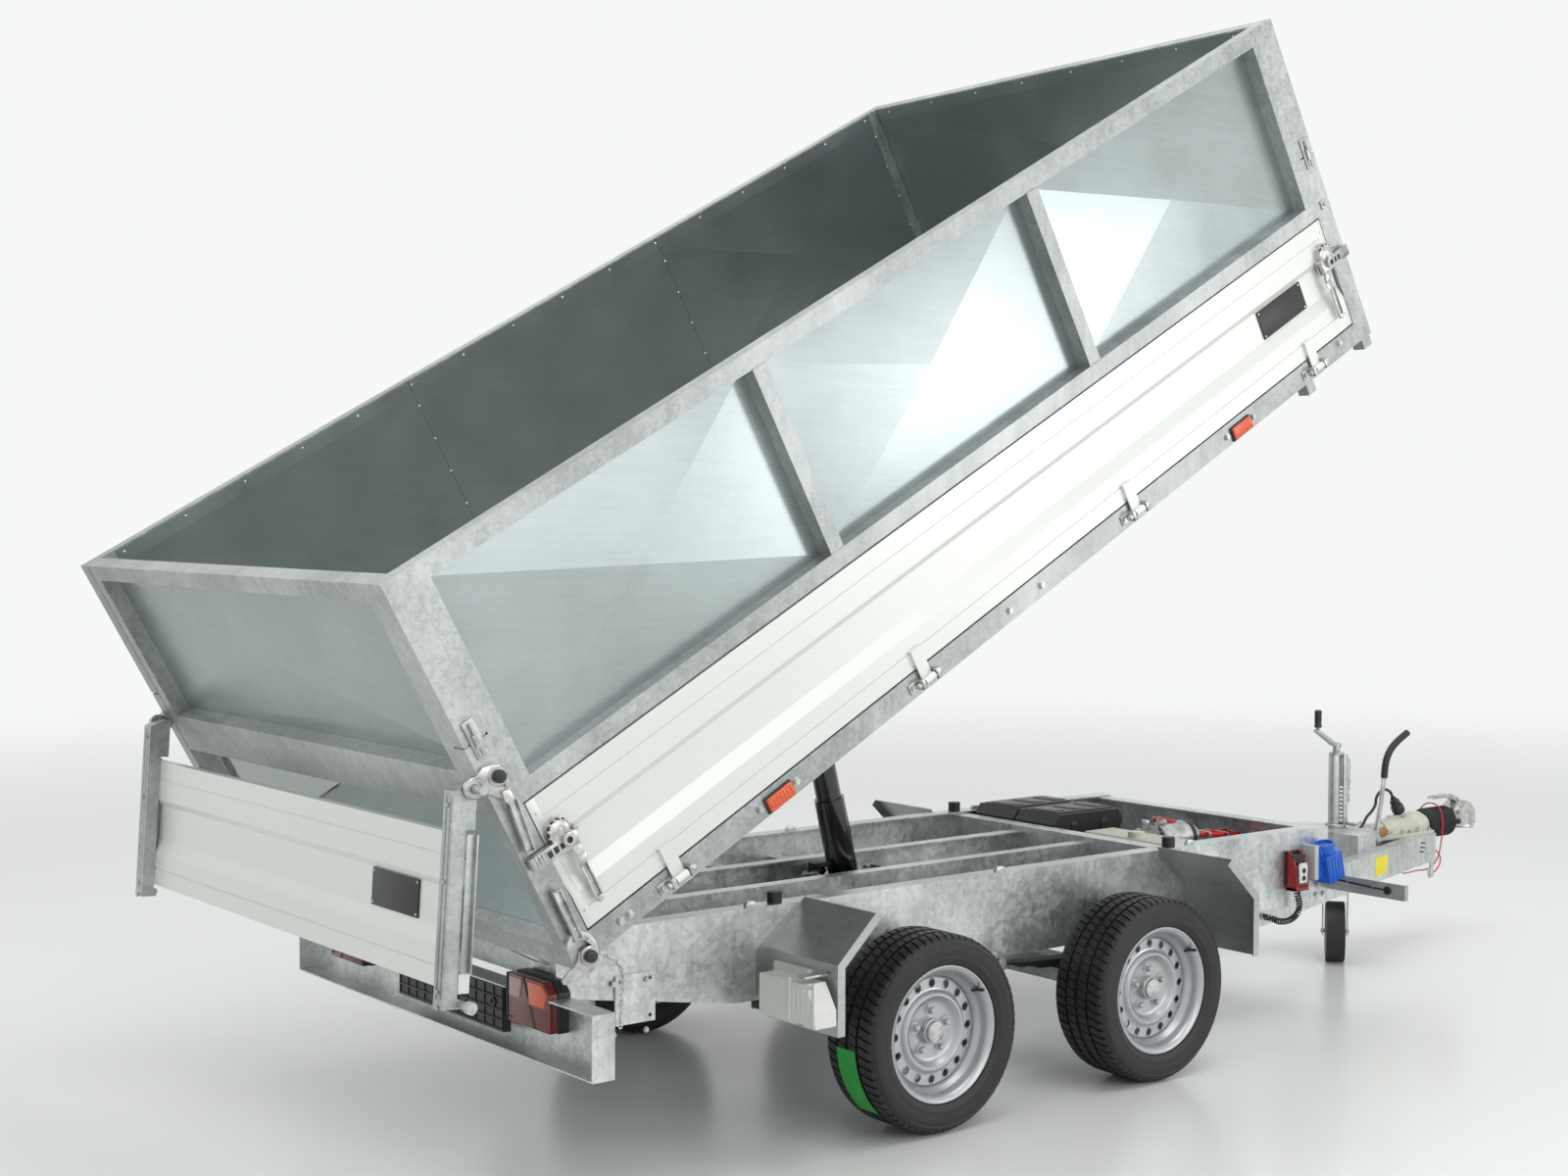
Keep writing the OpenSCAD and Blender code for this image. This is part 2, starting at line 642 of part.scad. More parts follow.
module rim_at(x, s) {
    from_axle() translate([x, s * half_track, tyre_r]) rotate([-90 * s, 0, 0]) {
        rotate_extrude($fn = 96) polygon([[rim_r - 20, -84], [rim_r, -84], [rim_r, -80],
            [rim_r - 16, -79], [rim_r - 16, 79], [rim_r, 80], [rim_r, 84], [rim_r - 6, 84],
            [rim_r - 20, 70]]);
        difference() {
            rotate_extrude($fn = 96) polygon([[30, 26], [72, 26], [82, 42], [100, 46], [112, 36], [144, 32],
                [rim_r - 19, 14], [rim_r - 19, 4], [142, 24], [110, 28], [98, 38], [86, 36], [74, 20.1], [30, 20.1]]);
            for (i = [0 : 15]) rotate([0, 0, i * 22.5]) translate([128, 0, 10]) cylinder(d = 21, h = 40);
        }
        difference() {
            translate([0, 0, -80]) cylinder(r = 112, h = 99);
            translate([0, 0, -85]) cylinder(d = 40 + 2 * fit, h = 101);
        }
        translate([0, 0, 18.9]) cylinder(d = 70, h = 36);
        for (i = [0 : 4]) rotate([0, 0, i * 72 + 18]) translate([56, 0, 25.9]) cylinder(d = 19, h = 16);
    }
}

fork_off = 50;
module jockey_fork() {
    color("silver") from_axle() translate([jockey_x, 0, 0]) rotate([0, 0, jockey_turn]) {
        translate([0, 0, fork_top - 7]) cylinder(d = 30, h = 80);
        block([-fork_off - 20, -46, fork_top - 12], [24, 46, fork_top - 6]);
        for (s = [-1, 1]) block([-fork_off - 20, s * 41, jockey_r - 14], [-fork_off + 20, s * 46, fork_top - 12]);
        rod_y(14, -fork_off, jockey_r, -50, 50);
    }
}

module jockey_wheel() {
    color("dimgray") from_axle() translate([jockey_x, 0, 0]) rotate([0, 0, jockey_turn])
        translate([-fork_off, 0, jockey_r]) rotate([90, 0, 0]) difference() {
            cylinder(r = jockey_r, h = 66, center = true, $fn = 72);
            cylinder(d = 14 + 2 * fit, h = 70, center = true);
        }
}

// Moves what is drawn along the cylinder's axis, up from its lower bearing
module on_cylinder() {
    from_axle() translate([cylinder_x, 0, cylinder_z]) rotate([0, -cylinder_lean, 0]) children();
}

base_l = stage_l[0] + 8;
module cylinder_base() {
    color("dimgray") on_cylinder() {
        difference() {
            union() {
                translate([0, 0, base_top - base_l]) cylinder(d = cylinder_d, h = base_l);
                rod_y(30, 0, 0, -118, 118);
            }
            translate([0, 0, base_top - base_l + 10]) cylinder(d = stage_d[0] + 2 * fit, h = base_l);
        }
    }
}

function stage_top(i) = base_top + (i == 0 ? stage_out[0] : stage_top(i - 1) - base_top + stage_out[i]);
module stage(i) {
    color("dimgray") on_cylinder() difference() {
        translate([0, 0, stage_top(i) - stage_l[i]]) cylinder(d = stage_d[i], h = stage_l[i]);
        if (i < 3) translate([0, 0, stage_top(i) - stage_l[i] + 8])
            cylinder(d = stage_d[i + 1] + 2 * fit, h = stage_l[i]);
    }
}

module cylinder_stage_1() { stage(0); }
module cylinder_stage_2() { stage(1); }
module cylinder_stage_3() { stage(2); }
module cylinder_stage_4() {
    stage(3);
    color("dimgray") on_cylinder() {
        translate([0, 0, stage_top(3) - 5]) cylinder(d = 30, h = eye_neck);
        rod_y(46, 0, cylinder_l, -26, 26);
    }
}

module floor_frame() {
    color("silver") on_bed() {
        difference() {
            union() {
                difference() {
                    block([0, -half_w, 0], [bed_l, half_w, frame_h]);
                    block([45, -half_w + 45, -1], [bed_l - 45, half_w - 45, frame_h + 1]);
                }
                for (i = [1 : floor_bearers]) {
                    u = 45 + (bed_l - 90) * i / (floor_bearers + 1);
                    block([u - 20, -half_w + 44, 8], [u + 20, half_w - 44, frame_h - 4]);
                }
                for (s = [-1, 1]) block([44, s * 430 - 25, 8], [bed_l - 44, s * 430 + 25, frame_h - 4]);
            }
            block([eye_u - 60, -60, -1], [eye_u + 60, 60, frame_h - 3]);
        }
        for (s = [-1, 1]) {
            block([eye_u - 40, s * 32, eye_v - 16], [eye_u + 40, s * 40, 10]);
            block([eye_u - 80, s * 32, 8], [eye_u + 80, s * 431, 40]);
        }
        both_sides() {
            block([30, pivot_y - 40, 0], [90, pivot_y + 40, frame_h - 4]);
            block([stop_u - 18, half_w - 46, -39], [stop_u + 18, half_w - 8, 1]);
            block([bed_l - 44, half_w - 46, -34], [bed_l - 4, half_w - 6, 1]);
        }
        both_sides() along_y(pivot_y - 12, pivot_y + 12) difference() {
            union() {
                translate([pivot_u, pivot_v]) circle(r = pivot_r);
                translate([pivot_u - pivot_r, pivot_v]) square([2 * pivot_r, -pivot_v + 10]);
            }
            translate([pivot_u, pivot_v]) circle(d = pivot_pin_d + 2 * fit);
        }
    }
}

module floor_sheet() {
    color("lightsteelblue") on_bed()
        block([46, -half_w + 46, frame_h - 4 + seat], [bed_l - 46, half_w - 46, frame_h]);
}

module corner_posts() {
    color("silver") on_bed() both_sides() for (u = [0, bed_l - post_w]) {
        block([u, half_w - post_d, frame_h], [u + post_w, half_w, post_split]);
        block([u + 4, half_w - post_d + 4, post_split - 1], [u + post_w - 4, half_w - 4, post_split + 6]);
        block([u, half_w - post_d, post_split + 5], [u + post_w, half_w, ext_top]);
        block([u + 22, half_w - 1, ext_v + 148], [u + 44, half_w + 9, ext_v + 176]);
    }
}

// An extruded drop side from its bottom up, proud at both edges, with a fine line in each
module board_profile(h) {
    polygon([[0, 0], [board_t, 0], [board_t, h * 0.13], [board_t - 2, h * 0.13], [board_t - 2, h * 0.14],
        [board_t, h * 0.14], [board_t, h * 0.26], [board_t - 11, h * 0.37], [board_t - 11, h * 0.64],
        [board_t, h * 0.69], [board_t, h * 0.85], [board_t - 2, h * 0.85], [board_t - 2, h * 0.86],
        [board_t, h * 0.86], [board_t, h], [0, h]]);
}

module front_wall() {
    color("gainsboro") on_bed() translate([bed_l - board_t - 8, half_w - post_d, frame_h])
        rotate([90, 0, 0]) linear_extrude(bed_w - 2 * post_d) board_profile(board_top - frame_h);
}

module side_board() {
    color("gainsboro") on_bed() {
        translate([post_w + gap, half_w - board_t, board_v]) rotate([90, 0, 90])
            linear_extrude(bed_l - 2 * post_w - 2 * gap) board_profile(board_h);
        for (u = hinge_u) difference() {
            union() {
                rod_x(20, u - 18, u + 18, hinge_y, hinge_v);
                block([u - 18, half_w + gap, hinge_v], [u + 18, half_w + 10, board_v + 50]);
                block([u - 18, half_w - 1, board_v + 10], [u + 18, half_w + 8, board_v + 50]);
            }
            rod_x(hinge_pin_d + 2 * fit, u - 30, u + 30, hinge_y, hinge_v);
        }
    }
}

// A rod along X, from x1 to x2, at y and z
module rod_x(d, x1, x2, y, z) {
    translate([x1, y, z]) rotate([0, 90, 0]) cylinder(d = d, h = x2 - x1);
}

module side_board_left() { side_board(); }
module side_board_right() { mirror([0, 1, 0]) side_board(); }

module board_hinges() {
    color("silver") on_bed() both_sides() for (u = hinge_u) {
        rod_x(hinge_pin_d, u - 32, u + 32, hinge_y, hinge_v);
        for (s = [-1, 1]) block([u + s * 23, half_w, hinge_v - 9], [u + s * 32, hinge_y + 9, hinge_v + 9]);
    }
}

module extension_sides() {
    u1 = post_w + seat;
    u2 = bed_l - post_w - seat;
    color("silver") on_bed() both_sides() {
        for (v = [ext_v, ext_top - tube]) block([u1, half_w - tube, v], [u2, half_w, v + tube]);
        for (i = [0 : 3]) {
            u = u1 + (u2 - u1 - tube) * i / 3;
            block([u, half_w - tube, ext_v + tube], [u + tube, half_w, ext_top - tube]);
        }
    }
}

module extension_ends() {
    color("silver") on_bed() for (u = [1, bed_l - tube - 1]) {
        y = half_w - post_d;
        for (v = [ext_v + 70, ext_top - tube]) block([u, -y, v], [u + tube, y, v + tube]);
        both_sides() block([u, y - tube, ext_v + 70 + tube], [u + tube, y, ext_top - tube]);
        block([u, -y, ext_v], [u + 6, y, ext_v + 70]);
    }
}

// A flat sheet whose window, from low to high, is creased from corner to corner and stands out
module creased_sheet(size, low, high, rise) {
    difference() {
        cube([size[0], sheet_t, size[1]]);
        translate([low[0], -1, low[1]]) cube([high[0] - low[0], sheet_t + 2, high[1] - low[1]]);
    }
    translate([low[0] - lap, 0, low[1] - lap])
        pyramid_sheet(high[0] - low[0] + 2 * lap, high[1] - low[1] + 2 * lap, rise);
}

module pyramid_sheet(w, h, rise) {
    outer = [[0, sheet_t, 0], [w, sheet_t, 0], [w, sheet_t, h], [0, sheet_t, h], [w / 2, sheet_t + rise, h / 2]];
    inner = [for (p = outer) p - [0, sheet_t, 0]];
    polyhedron(concat(outer, inner), [[0, 1, 4], [1, 2, 4], [2, 3, 4], [3, 0, 4], [6, 5, 9], [7, 6, 9],
        [8, 7, 9], [5, 8, 9], [1, 0, 5, 6], [2, 1, 6, 7], [3, 2, 7, 8], [0, 3, 8, 5]]);
}

module extension_panels() {
    u1 = post_w + seat;
    bay = (bed_l - 2 * u1 - tube) / 3;
    v = ext_v + 8;
    h = ext_top - 4 - v;
    y = half_w - post_d - 2;
    end_v = ext_v + 72;
    end_h = ext_top - 4 - end_v;
    color("lightgray") on_bed() {
        both_sides() for (i = [0 : 2]) translate([u1 + bay * i + tube / 2 + 1, half_w - tube - seat - sheet_t, v])
            creased_sheet([bay - 2, h], [tube / 2 - 1, tube - 8], [bay - tube / 2 - 1, h + 4 - tube], crease);
        translate([tube + 1 + seat + sheet_t, -y, end_v]) rotate([0, 0, 90])
            creased_sheet([2 * y, end_h], [tube - 2, tube - 2], [2 * y - tube + 2, end_h + 4 - tube], crease);
        translate([bed_l - tube - 1 - seat - sheet_t, y, end_v]) rotate([0, 0, -90])
            creased_sheet([2 * y, end_h], [tube - 2, tube - 2], [2 * y - tube + 2, end_h + 4 - tube], crease);
    }
}

module side_markers() {
    color("orange") on_bed() both_sides() for (u = [marker_u, bed_l - marker_u])
        block([u - 42, half_w + seat, 6], [u + 42, half_w + 12, 42]);
}

module tailgate_hooks() {
    color("silver") on_bed() both_sides() {
        difference() {
            along_y(half_w + seat, half_w + 12) {
                translate([gate_pin_u, gate_pin_v]) circle(r = 24);
                polygon([[gate_pin_u, gate_pin_v + 24], [40, gate_pin_v + 20], [58, gate_pin_v],
                    [56, gate_pin_v - 34], [30, gate_pin_v - 60], [10, gate_pin_v - 56], [gate_pin_u, gate_pin_v - 24]]);
            }
            rod_y(gate_pin_d + 2 * fit, gate_pin_u, gate_pin_v, half_w - 1, half_w + 20);
        }
        rod_y(26, 36, gate_pin_v - 6, half_w + 11.9, half_w + 30);
        along_y(half_w + 12, half_w + 20) polygon([[28, gate_pin_v - 50], [44, gate_pin_v - 44],
            [38, gate_pin_v - 120], [30, gate_pin_v - 196], [12, gate_pin_v - 196], [20, gate_pin_v - 120]]);
        along_y(half_w + seat, half_w + 12) difference() {
            polygon([[-44, -6], [30, -20], [60, 6], [60, 60], [30, 84], [4, 70], [4, gate_low_v - 16],
                [-44, gate_low_v - 18]]);
            translate([gate_pin_u, gate_low_v]) circle(r = 15);
        }
        rod_y(26, 37, 16, half_w + 11.9, half_w + 30);
        along_y(half_w + 12, half_w + 20)
            polygon([[20, 60], [36, 66], [44, 120], [40, 190], [22, 190], [26, 122]]);
    }
}

module tailgate_panel() {
    color("gainsboro") on_gate() mirror([1, 0, 0]) translate([-gate_in_u, half_w, board_top - gate_h])
        rotate([90, 0, 0]) linear_extrude(bed_w) board_profile(gate_h);
}

module tailgate_uprights() {
    u0 = gate_in_u - board_t;
    y1 = half_w - 46;
    y2 = half_w - 2;
    color("silver") on_gate() both_sides() {
        translate([0, 0, gate_low_v - 10]) linear_extrude(gate_pin_v - gate_low_v) polygon([
            [u0 - seat, y1], [u0 - 34, y1], [u0 - 34, y1 + 9], [u0 - 29, y1 + 11], [u0 - 29, y1 + 16],
            [u0 - 34, y1 + 18], [u0 - 34, y2 - 18], [u0 - 29, y2 - 16], [u0 - 29, y2 - 11], [u0 - 34, y2 - 9],
            [u0 - 34, y2], [u0 - seat, y2]]);
        along_y(y1, y2) polygon([[u0 - 34, gate_pin_v - 11], [u0 - 34, gate_pin_v - 6], [u0 - 14, gate_pin_v + 4],
            [u0 + 4, gate_pin_v + 10], [gate_in_u - 5, gate_pin_v + 12], [gate_in_u - 5, board_top + 12],
            [u0 - 20, board_top + 12]]);
        rod_y(gate_pin_d, gate_pin_u, gate_pin_v, half_w - 30, half_w + pin_reach);
        rod_y(gate_pin_d - 2, gate_pin_u, gate_low_v, half_w - 30, half_w + pin_reach - 14);
        rod_y(28, gate_pin_u, gate_low_v, half_w + pin_reach - 14.1, half_w + pin_reach);
        block([u0 - 34, y1, gate_low_v - 10], [gate_pin_u, y2, gate_low_v + 10]);
    }
}

module tyre_rear_left() { color("dimgray") tyre_at(0, 1); }
module tyre_rear_right() { color("dimgray") tyre_at(0, -1); }
module tyre_front_left() { color("dimgray") tyre_at(axle_gap, 1); }
module tyre_front_right() { color("dimgray") tyre_at(axle_gap, -1); }
module rim_rear_left() { color("silver") rim_at(0, 1); }
module rim_rear_right() { color("silver") rim_at(0, -1); }
module rim_front_left() { color("silver") rim_at(axle_gap, 1); }
module rim_front_right() { color("silver") rim_at(axle_gap, -1); }

side_rails();
cross_members();
pivot_brackets();
rubber_pads();
cylinder_cradle();
drawbar();
overrun_housing();
bellows();
coupling_head();
handbrake_lever();
jockey_tube();
rear_beam();
tail_lamps();
plate_holder();
spray_guards();
wheel_chocks();
leaf_springs();
spring_hangers();
axles();
battery_box();
pump_motor();
oil_tank();
power_inlet();
remote_control();
marker_brackets();
tyre_rear_left();
tyre_rear_right();
tyre_front_left();
tyre_front_right();
rim_rear_left();
rim_rear_right();
rim_front_left();
rim_front_right();
jockey_fork();
jockey_wheel();
cylinder_base();
cylinder_stage_1();
cylinder_stage_2();
cylinder_stage_3();
cylinder_stage_4();
floor_frame();
floor_sheet();
corner_posts();
front_wall();
extension_sides();
extension_ends();
extension_panels();
side_markers();
board_hinges();
tailgate_hooks();
tailgate_panel();
tailgate_uprights();
side_board_left();
side_board_right();
plug_lead();
lead_plug();
breakaway_cable();
control_lead();
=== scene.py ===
"""Looks of a tandem-axle tipping trailer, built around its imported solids."""
import math
import random

import bmesh
import bpy
from mathutils import Matrix, Vector


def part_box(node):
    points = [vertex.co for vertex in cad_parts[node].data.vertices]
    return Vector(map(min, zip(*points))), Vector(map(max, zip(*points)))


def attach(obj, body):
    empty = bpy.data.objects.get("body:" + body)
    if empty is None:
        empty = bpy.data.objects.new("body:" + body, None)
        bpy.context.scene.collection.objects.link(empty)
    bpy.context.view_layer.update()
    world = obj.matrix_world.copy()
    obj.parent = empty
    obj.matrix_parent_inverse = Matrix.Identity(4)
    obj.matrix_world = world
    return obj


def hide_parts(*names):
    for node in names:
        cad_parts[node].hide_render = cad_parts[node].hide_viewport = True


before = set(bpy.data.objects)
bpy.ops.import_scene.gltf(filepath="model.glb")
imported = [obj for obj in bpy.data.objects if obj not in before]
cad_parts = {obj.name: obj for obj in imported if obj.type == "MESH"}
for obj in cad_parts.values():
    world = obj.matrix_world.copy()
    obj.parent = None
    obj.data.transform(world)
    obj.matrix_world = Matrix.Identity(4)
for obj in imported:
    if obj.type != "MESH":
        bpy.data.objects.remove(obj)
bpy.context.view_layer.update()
chance = random.Random(7)

# Places. Chassis pieces are drawn in millimetres from the rear axle, bed pieces in the bed's own
# frame: forward, left and up from the rear lower edge of its floor frame.
MM = 0.001
tyre_low, tyre_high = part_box("tyre_rear_left")
AXLE_X = (tyre_low[0] + tyre_high[0]) / 2
TIP = math.radians(28.9)
GATE_LEAN = math.radians(3.8)
CYLINDER_LEAN = math.radians(13.979)
CHASSIS = Matrix.Translation((AXLE_X, 0, 0)) @ Matrix.Scale(MM, 4)
BED = (CHASSIS @ Matrix.Translation((-1126, 0, 603)) @ Matrix.Rotation(-TIP, 4, "Y")
       @ Matrix.Translation((-60, 0, 38)))
GATE = (BED @ Matrix.Translation((-24, 0, 503)) @ Matrix.Rotation(TIP + GATE_LEAN, 4, "Y")
        @ Matrix.Translation((24, 0, -503)))
CYLINDER = CHASSIS @ Matrix.Translation((295, 0, 545)) @ Matrix.Rotation(-CYLINDER_LEAN, 4, "Y")
BED_L, BED_W, FRAME_H, EXT_TOP = 3228, 1738, 60, 994
HALF_W = BED_W / 2
AXLE_GAP, TYRE_R, TRACK = 837, 262, 685


# ---------------------------------------------------------------- camera
def set_camera():
    data = bpy.data.cameras.new("camera")
    camera = bpy.data.objects.new("camera", data)
    bpy.context.scene.collection.objects.link(camera)
    bpy.context.scene.camera = camera
    data.sensor_width = 36
    data.lens = 2196.2 / 1600 * 36
    data.clip_end = 200
    turn = (Matrix.Rotation(math.radians(-38), 4, "Z") @ Matrix.Rotation(math.radians(90 - 2.2), 4, "X")
            @ Matrix.Rotation(math.radians(0.1), 4, "Z"))
    camera.matrix_world = Matrix.Translation((AXLE_X - 3.7675, -4.9074, 1.6448)) @ turn
    return camera


set_camera()


# ---------------------------------------------------------------- shader maths
class Signal:
    """An output socket of a finish, with arithmetic that adds Math nodes."""

    def __init__(self, finish, socket):
        self.finish, self.socket = finish, socket

    def maths(self, kind, a, b):
        return self.finish.node("ShaderNodeMath", {"operation": kind}, {0: a, 1: b})

    def __add__(self, other):
        return self.maths("ADD", self, other)

    def __mul__(self, other):
        return self.maths("MULTIPLY", self, other)

    def __sub__(self, other):
        return self.maths("SUBTRACT", self, other)

    def __rsub__(self, other):
        return self.maths("SUBTRACT", other, self)

    def __pow__(self, other):
        return self.maths("POWER", self, other)

    __radd__ = __add__
    __rmul__ = __mul__


class Finish:
    """A material in the making."""

    def __init__(self, name):
        self.material = bpy.data.materials.new(name)
        self.material.use_nodes = True
        self.tree = self.material.node_tree
        self.tree.nodes.clear()
        self.place = self.node("ShaderNodeTexCoord", out="Object")

    def node(self, kind, settings=None, inputs=None, out=0):
        made = self.tree.nodes.new(kind)
        for key, value in (settings or {}).items():
            if key == "stops":
                self.set_stops(made.color_ramp, value)
            else:
                setattr(made, key, value)
        for key, value in (inputs or {}).items():
            if isinstance(value, Signal):
                self.tree.links.new(value.socket, made.inputs[key])
            else:
                made.inputs[key].default_value = value
        return Signal(self, made.outputs[out]) if made.outputs else None

    def set_stops(self, ramp, stops):
        while len(ramp.elements) < len(stops):
            ramp.elements.new(1.0)
        for element, (at, shade) in zip(ramp.elements, stops):
            element.position = at
            element.color = (*shade, 1) if isinstance(shade, tuple) else (shade, shade, shade, 1)

    def ramp(self, value, stops):
        return self.node("ShaderNodeValToRGB", {"stops": stops}, {"Fac": value})

    def between(self, value, low, high):
        """0 below low, 1 above high, smooth between."""
        return self.node("ShaderNodeMapRange", {"interpolation_type": "SMOOTHSTEP"},
                         {"Value": value, "From Min": low, "From Max": high})

    def mix(self, factor, a, b):
        """Blends two colours, each a tuple or a signal."""
        a, b = [(*c, 1) if isinstance(c, tuple) else c for c in (a, b)]
        return self.node("ShaderNodeMix", {"data_type": "RGBA"}, {0: factor, 6: a, 7: b}, out=2)

    def turned(self, angle=(0, 0, 0), scale=(1, 1, 1)):
        return self.node("ShaderNodeMapping", {}, {"Vector": self.place, "Rotation": angle,
                                                  "Scale": scale})

    def noise(self, scale, detail=3.0, rough=0.5, at=None, warp=0.0):
        return self.node("ShaderNodeTexNoise", {}, {"Vector": at or self.place, "Scale": scale,
                         "Detail": detail, "Roughness": rough, "Distortion": warp})

    def cells(self, scale, at=None, feature="F1", out="Color"):
        made = self.node("ShaderNodeTexVoronoi", {"feature": feature},
                         {"Vector": at or self.place, "Scale": scale}, out=out)
        if out == "Color":
            made = self.node("ShaderNodeSeparateColor", {}, {0: made})
        return made

    def bump(self, height, strength, distance=0.002, onto=None):
        inputs = {"Height": height, "Strength": strength, "Distance": distance}
        if onto:
            inputs["Normal"] = onto
        return self.node("ShaderNodeBump", {}, inputs)

    def surface(self, colour, rough, metal=0.0, normal=None, **fixed):
        inputs = {"Base Color": (*colour, 1) if isinstance(colour, tuple) else colour,
                  "Roughness": rough, "Metallic": metal}
        if normal:
            inputs["Normal"] = normal
        inputs.update({key.replace("_", " "): value for key, value in fixed.items()})
        body = self.node("ShaderNodeBsdfPrincipled", {}, inputs)
        self.node("ShaderNodeOutputMaterial", {}, {"Surface": body})
        return self.material


def dipped_zinc(name, dark, light, tint=(0.95, 1.0, 1.0), spangle=70, metal=0.8, rough=0.34, marks=1.0):
    """Hot-dip galvanised steel: blotches, crystals and runs of different greys."""
    f = Finish(name)
    wander = f.noise(9, 5, 0.62)
    shaken = f.node("ShaderNodeVectorMath", {"operation": "ADD"},
                    {0: f.place, 1: f.node("ShaderNodeVectorMath", {"operation": "SCALE"},
                                           {0: f.node("ShaderNodeTexNoise", {}, {
                                               "Vector": f.place, "Scale": 30.0}, out="Color"),
                                            "Scale": 0.03})})
    crystal = f.cells(spangle, shaken)
    fine = f.noise(150, 4, 0.7)
    runs = f.noise(22, 4, 0.6, f.turned(scale=(1.8, 1.8, 0.2)))
    cloud = f.between(f.noise(1.9, 4, 0.6), 0.32, 0.68)
    level = crystal * 0.20 * marks + wander * 0.5 + fine * 0.22 * marks + runs * 0.4 + cloud * 0.3 - 0.42
    shade = f.ramp(level, [(0.15, tuple(dark * t for t in tint)),
                           (0.5, tuple((dark + light) / 2 * t for t in tint)),
                           (0.85, (light * 0.98, light, light * 0.99))])
    worn = crystal * 0.10 + wander * 0.22 + rough - 0.12
    return f.surface(shade, worn, metal, f.bump(fine * 0.4 + runs * 0.5, 0.10, 0.001))


def rolled_zinc(name, dark, light, metal=0.85, rough=0.3, tint=(0.97, 1.0, 1.01)):
    """Smooth galvanised sheet: a fine, even spangle and faint rolling marks."""
    f = Finish(name)
    crystal = f.noise(60, 3, 0.5)
    cloud = f.noise(5, 3, 0.5)
    rolled = f.noise(30, 3, 0.6, f.turned((0, TIP, 0), (0.15, 1, 3)))
    level = crystal * 0.14 + cloud * 0.55 + rolled * 0.38 - 0.05
    shade = f.ramp(level, [(0.2, tuple(dark * t for t in tint)), (0.8, tuple(light * t for t in tint))])
    return f.surface(shade, cloud * 0.10 + crystal * 0.03 + rough - 0.05, metal,
                     f.bump(cloud, 0.1, 0.004))


def pale_metal(name, shade, metal=0.35, rough=0.38, angle=TIP):
    """Anodised aluminium extrusions, drawn along the bed."""
    f = Finish(name)
    drawn = f.noise(160, 3, 0.6, f.turned((0, angle, 0), (0.02, 1, 1)))
    cloud = f.noise(3, 3, 0.5)
    low = tuple(s * 0.93 for s in shade)
    return f.surface(f.mix(drawn * 0.7 + cloud * 0.3, low, shade), drawn * 0.12 + rough - 0.05, metal,
                     f.bump(drawn, 0.04, 0.0004))


def bright_zinc(name, dark=0.30, light=0.64, rough=0.30):
    """Electroplated fittings: glossy, with cloudy passivation."""
    f = Finish(name)
    cloud = f.noise(24, 4, 0.6, warp=0.4)
    fine = f.noise(300, 3)
    shade = f.ramp(cloud, [(0.3, (dark, dark * 1.02, dark * 1.04)), (0.62, (light, light * 0.99, light * 0.96))])
    return f.surface(shade, cloud * 0.2 + rough - 0.08, 0.9, f.bump(fine, 0.03, 0.0004))


def plain(name, shade, rough=0.45, metal=0.0, mottle=0.12, grain=240.0, bump=0.08, scale=9.0, **fixed):
    """Paint, plastic or rubber: a colour that drifts a little, under a fine grain."""
    f = Finish(name)
    drift = f.noise(scale, 4, 0.6)
    fine = f.noise(grain, 3, 0.6)
    low = tuple(s * (1 - mottle) for s in shade)
    high = tuple(min(1, s * (1 + mottle)) for s in shade)
    return f.surface(f.mix(drift, low, high), drift * 0.14 + fine * 0.06 + rough - 0.1, metal,
                     f.bump(fine, bump, 0.0008), **fixed)


def tyre_rubber():
    f = Finish("tyre_rubber")
    dust = f.between(f.noise(14, 5, 0.7), 0.45, 0.75)
    fine = f.noise(420, 3, 0.6)
    return f.surface(f.mix(dust, (0.012, 0.012, 0.012), (0.030, 0.029, 0.027)),
                     dust * 0.16 + fine * 0.08 + 0.46, 0, f.bump(fine, 0.14, 0.0008))


def lens(name, shade):
    """A moulded lens over small prisms."""
    f = Finish(name)
    prisms = f.cells(330, out="Distance")
    band = f.noise(30, 2)
    dark = tuple(s * 0.55 for s in shade)
    return f.surface(f.mix(prisms * 1.1 + band * 0.3, dark, shade), band * 0.05 + 0.13, 0,
                     f.bump(prisms, 0.35, 0.0015), Coat_Weight=0.5)


def crumpled_film():
    f = Finish("clear_film")
    folds = f.cells(38, f.turned(scale=(1, 1, 1.6)), "DISTANCE_TO_EDGE", "Distance")
    fine = f.noise(60, 5, 0.7, warp=1.2)
    glint = f.between(folds, 0.0, 0.05)
    body = f.mix(glint, (0.95, 0.96, 0.97), (0.62, 0.65, 0.66))
    return f.surface(body, 0.12, 0.1, f.bump(folds * 0.6 + fine, 0.9, 0.01),
                     Alpha=(1 - glint) * 0.6 + 0.22)


galvanised = dipped_zinc("dipped_zinc", 0.40, 0.92)
galvanised_bed = dipped_zinc("dipped_zinc_bed", 0.32, 0.66, spangle=95, metal=0.8, rough=0.38)
zinc_sheet = rolled_zinc("rolled_zinc", 0.37, 0.50, 0.95, 0.28, (0.89, 1.0, 1.0))
guard_sheet = rolled_zinc("guard_zinc", 0.34, 0.62, 0.8, 0.34)
anodised = pale_metal("pale_anodised", (0.79, 0.81, 0.77))
steel_end = pale_metal("gate_steel", (0.74, 0.76, 0.75), 0.7, 0.34, 0.0)
plated = bright_zinc("bright_zinc")
tyre_black = tyre_rubber()
rim_silver = plain("rim_silver", (0.46, 0.475, 0.49), 0.34, 0.7, 0.10, 500, 0.04, 20)
black_rubber = plain("black_rubber", (0.016, 0.016, 0.017), 0.5, mottle=0.3)
black_plastic = plain("black_plastic", (0.018, 0.018, 0.019), 0.4, mottle=0.3, grain=420)
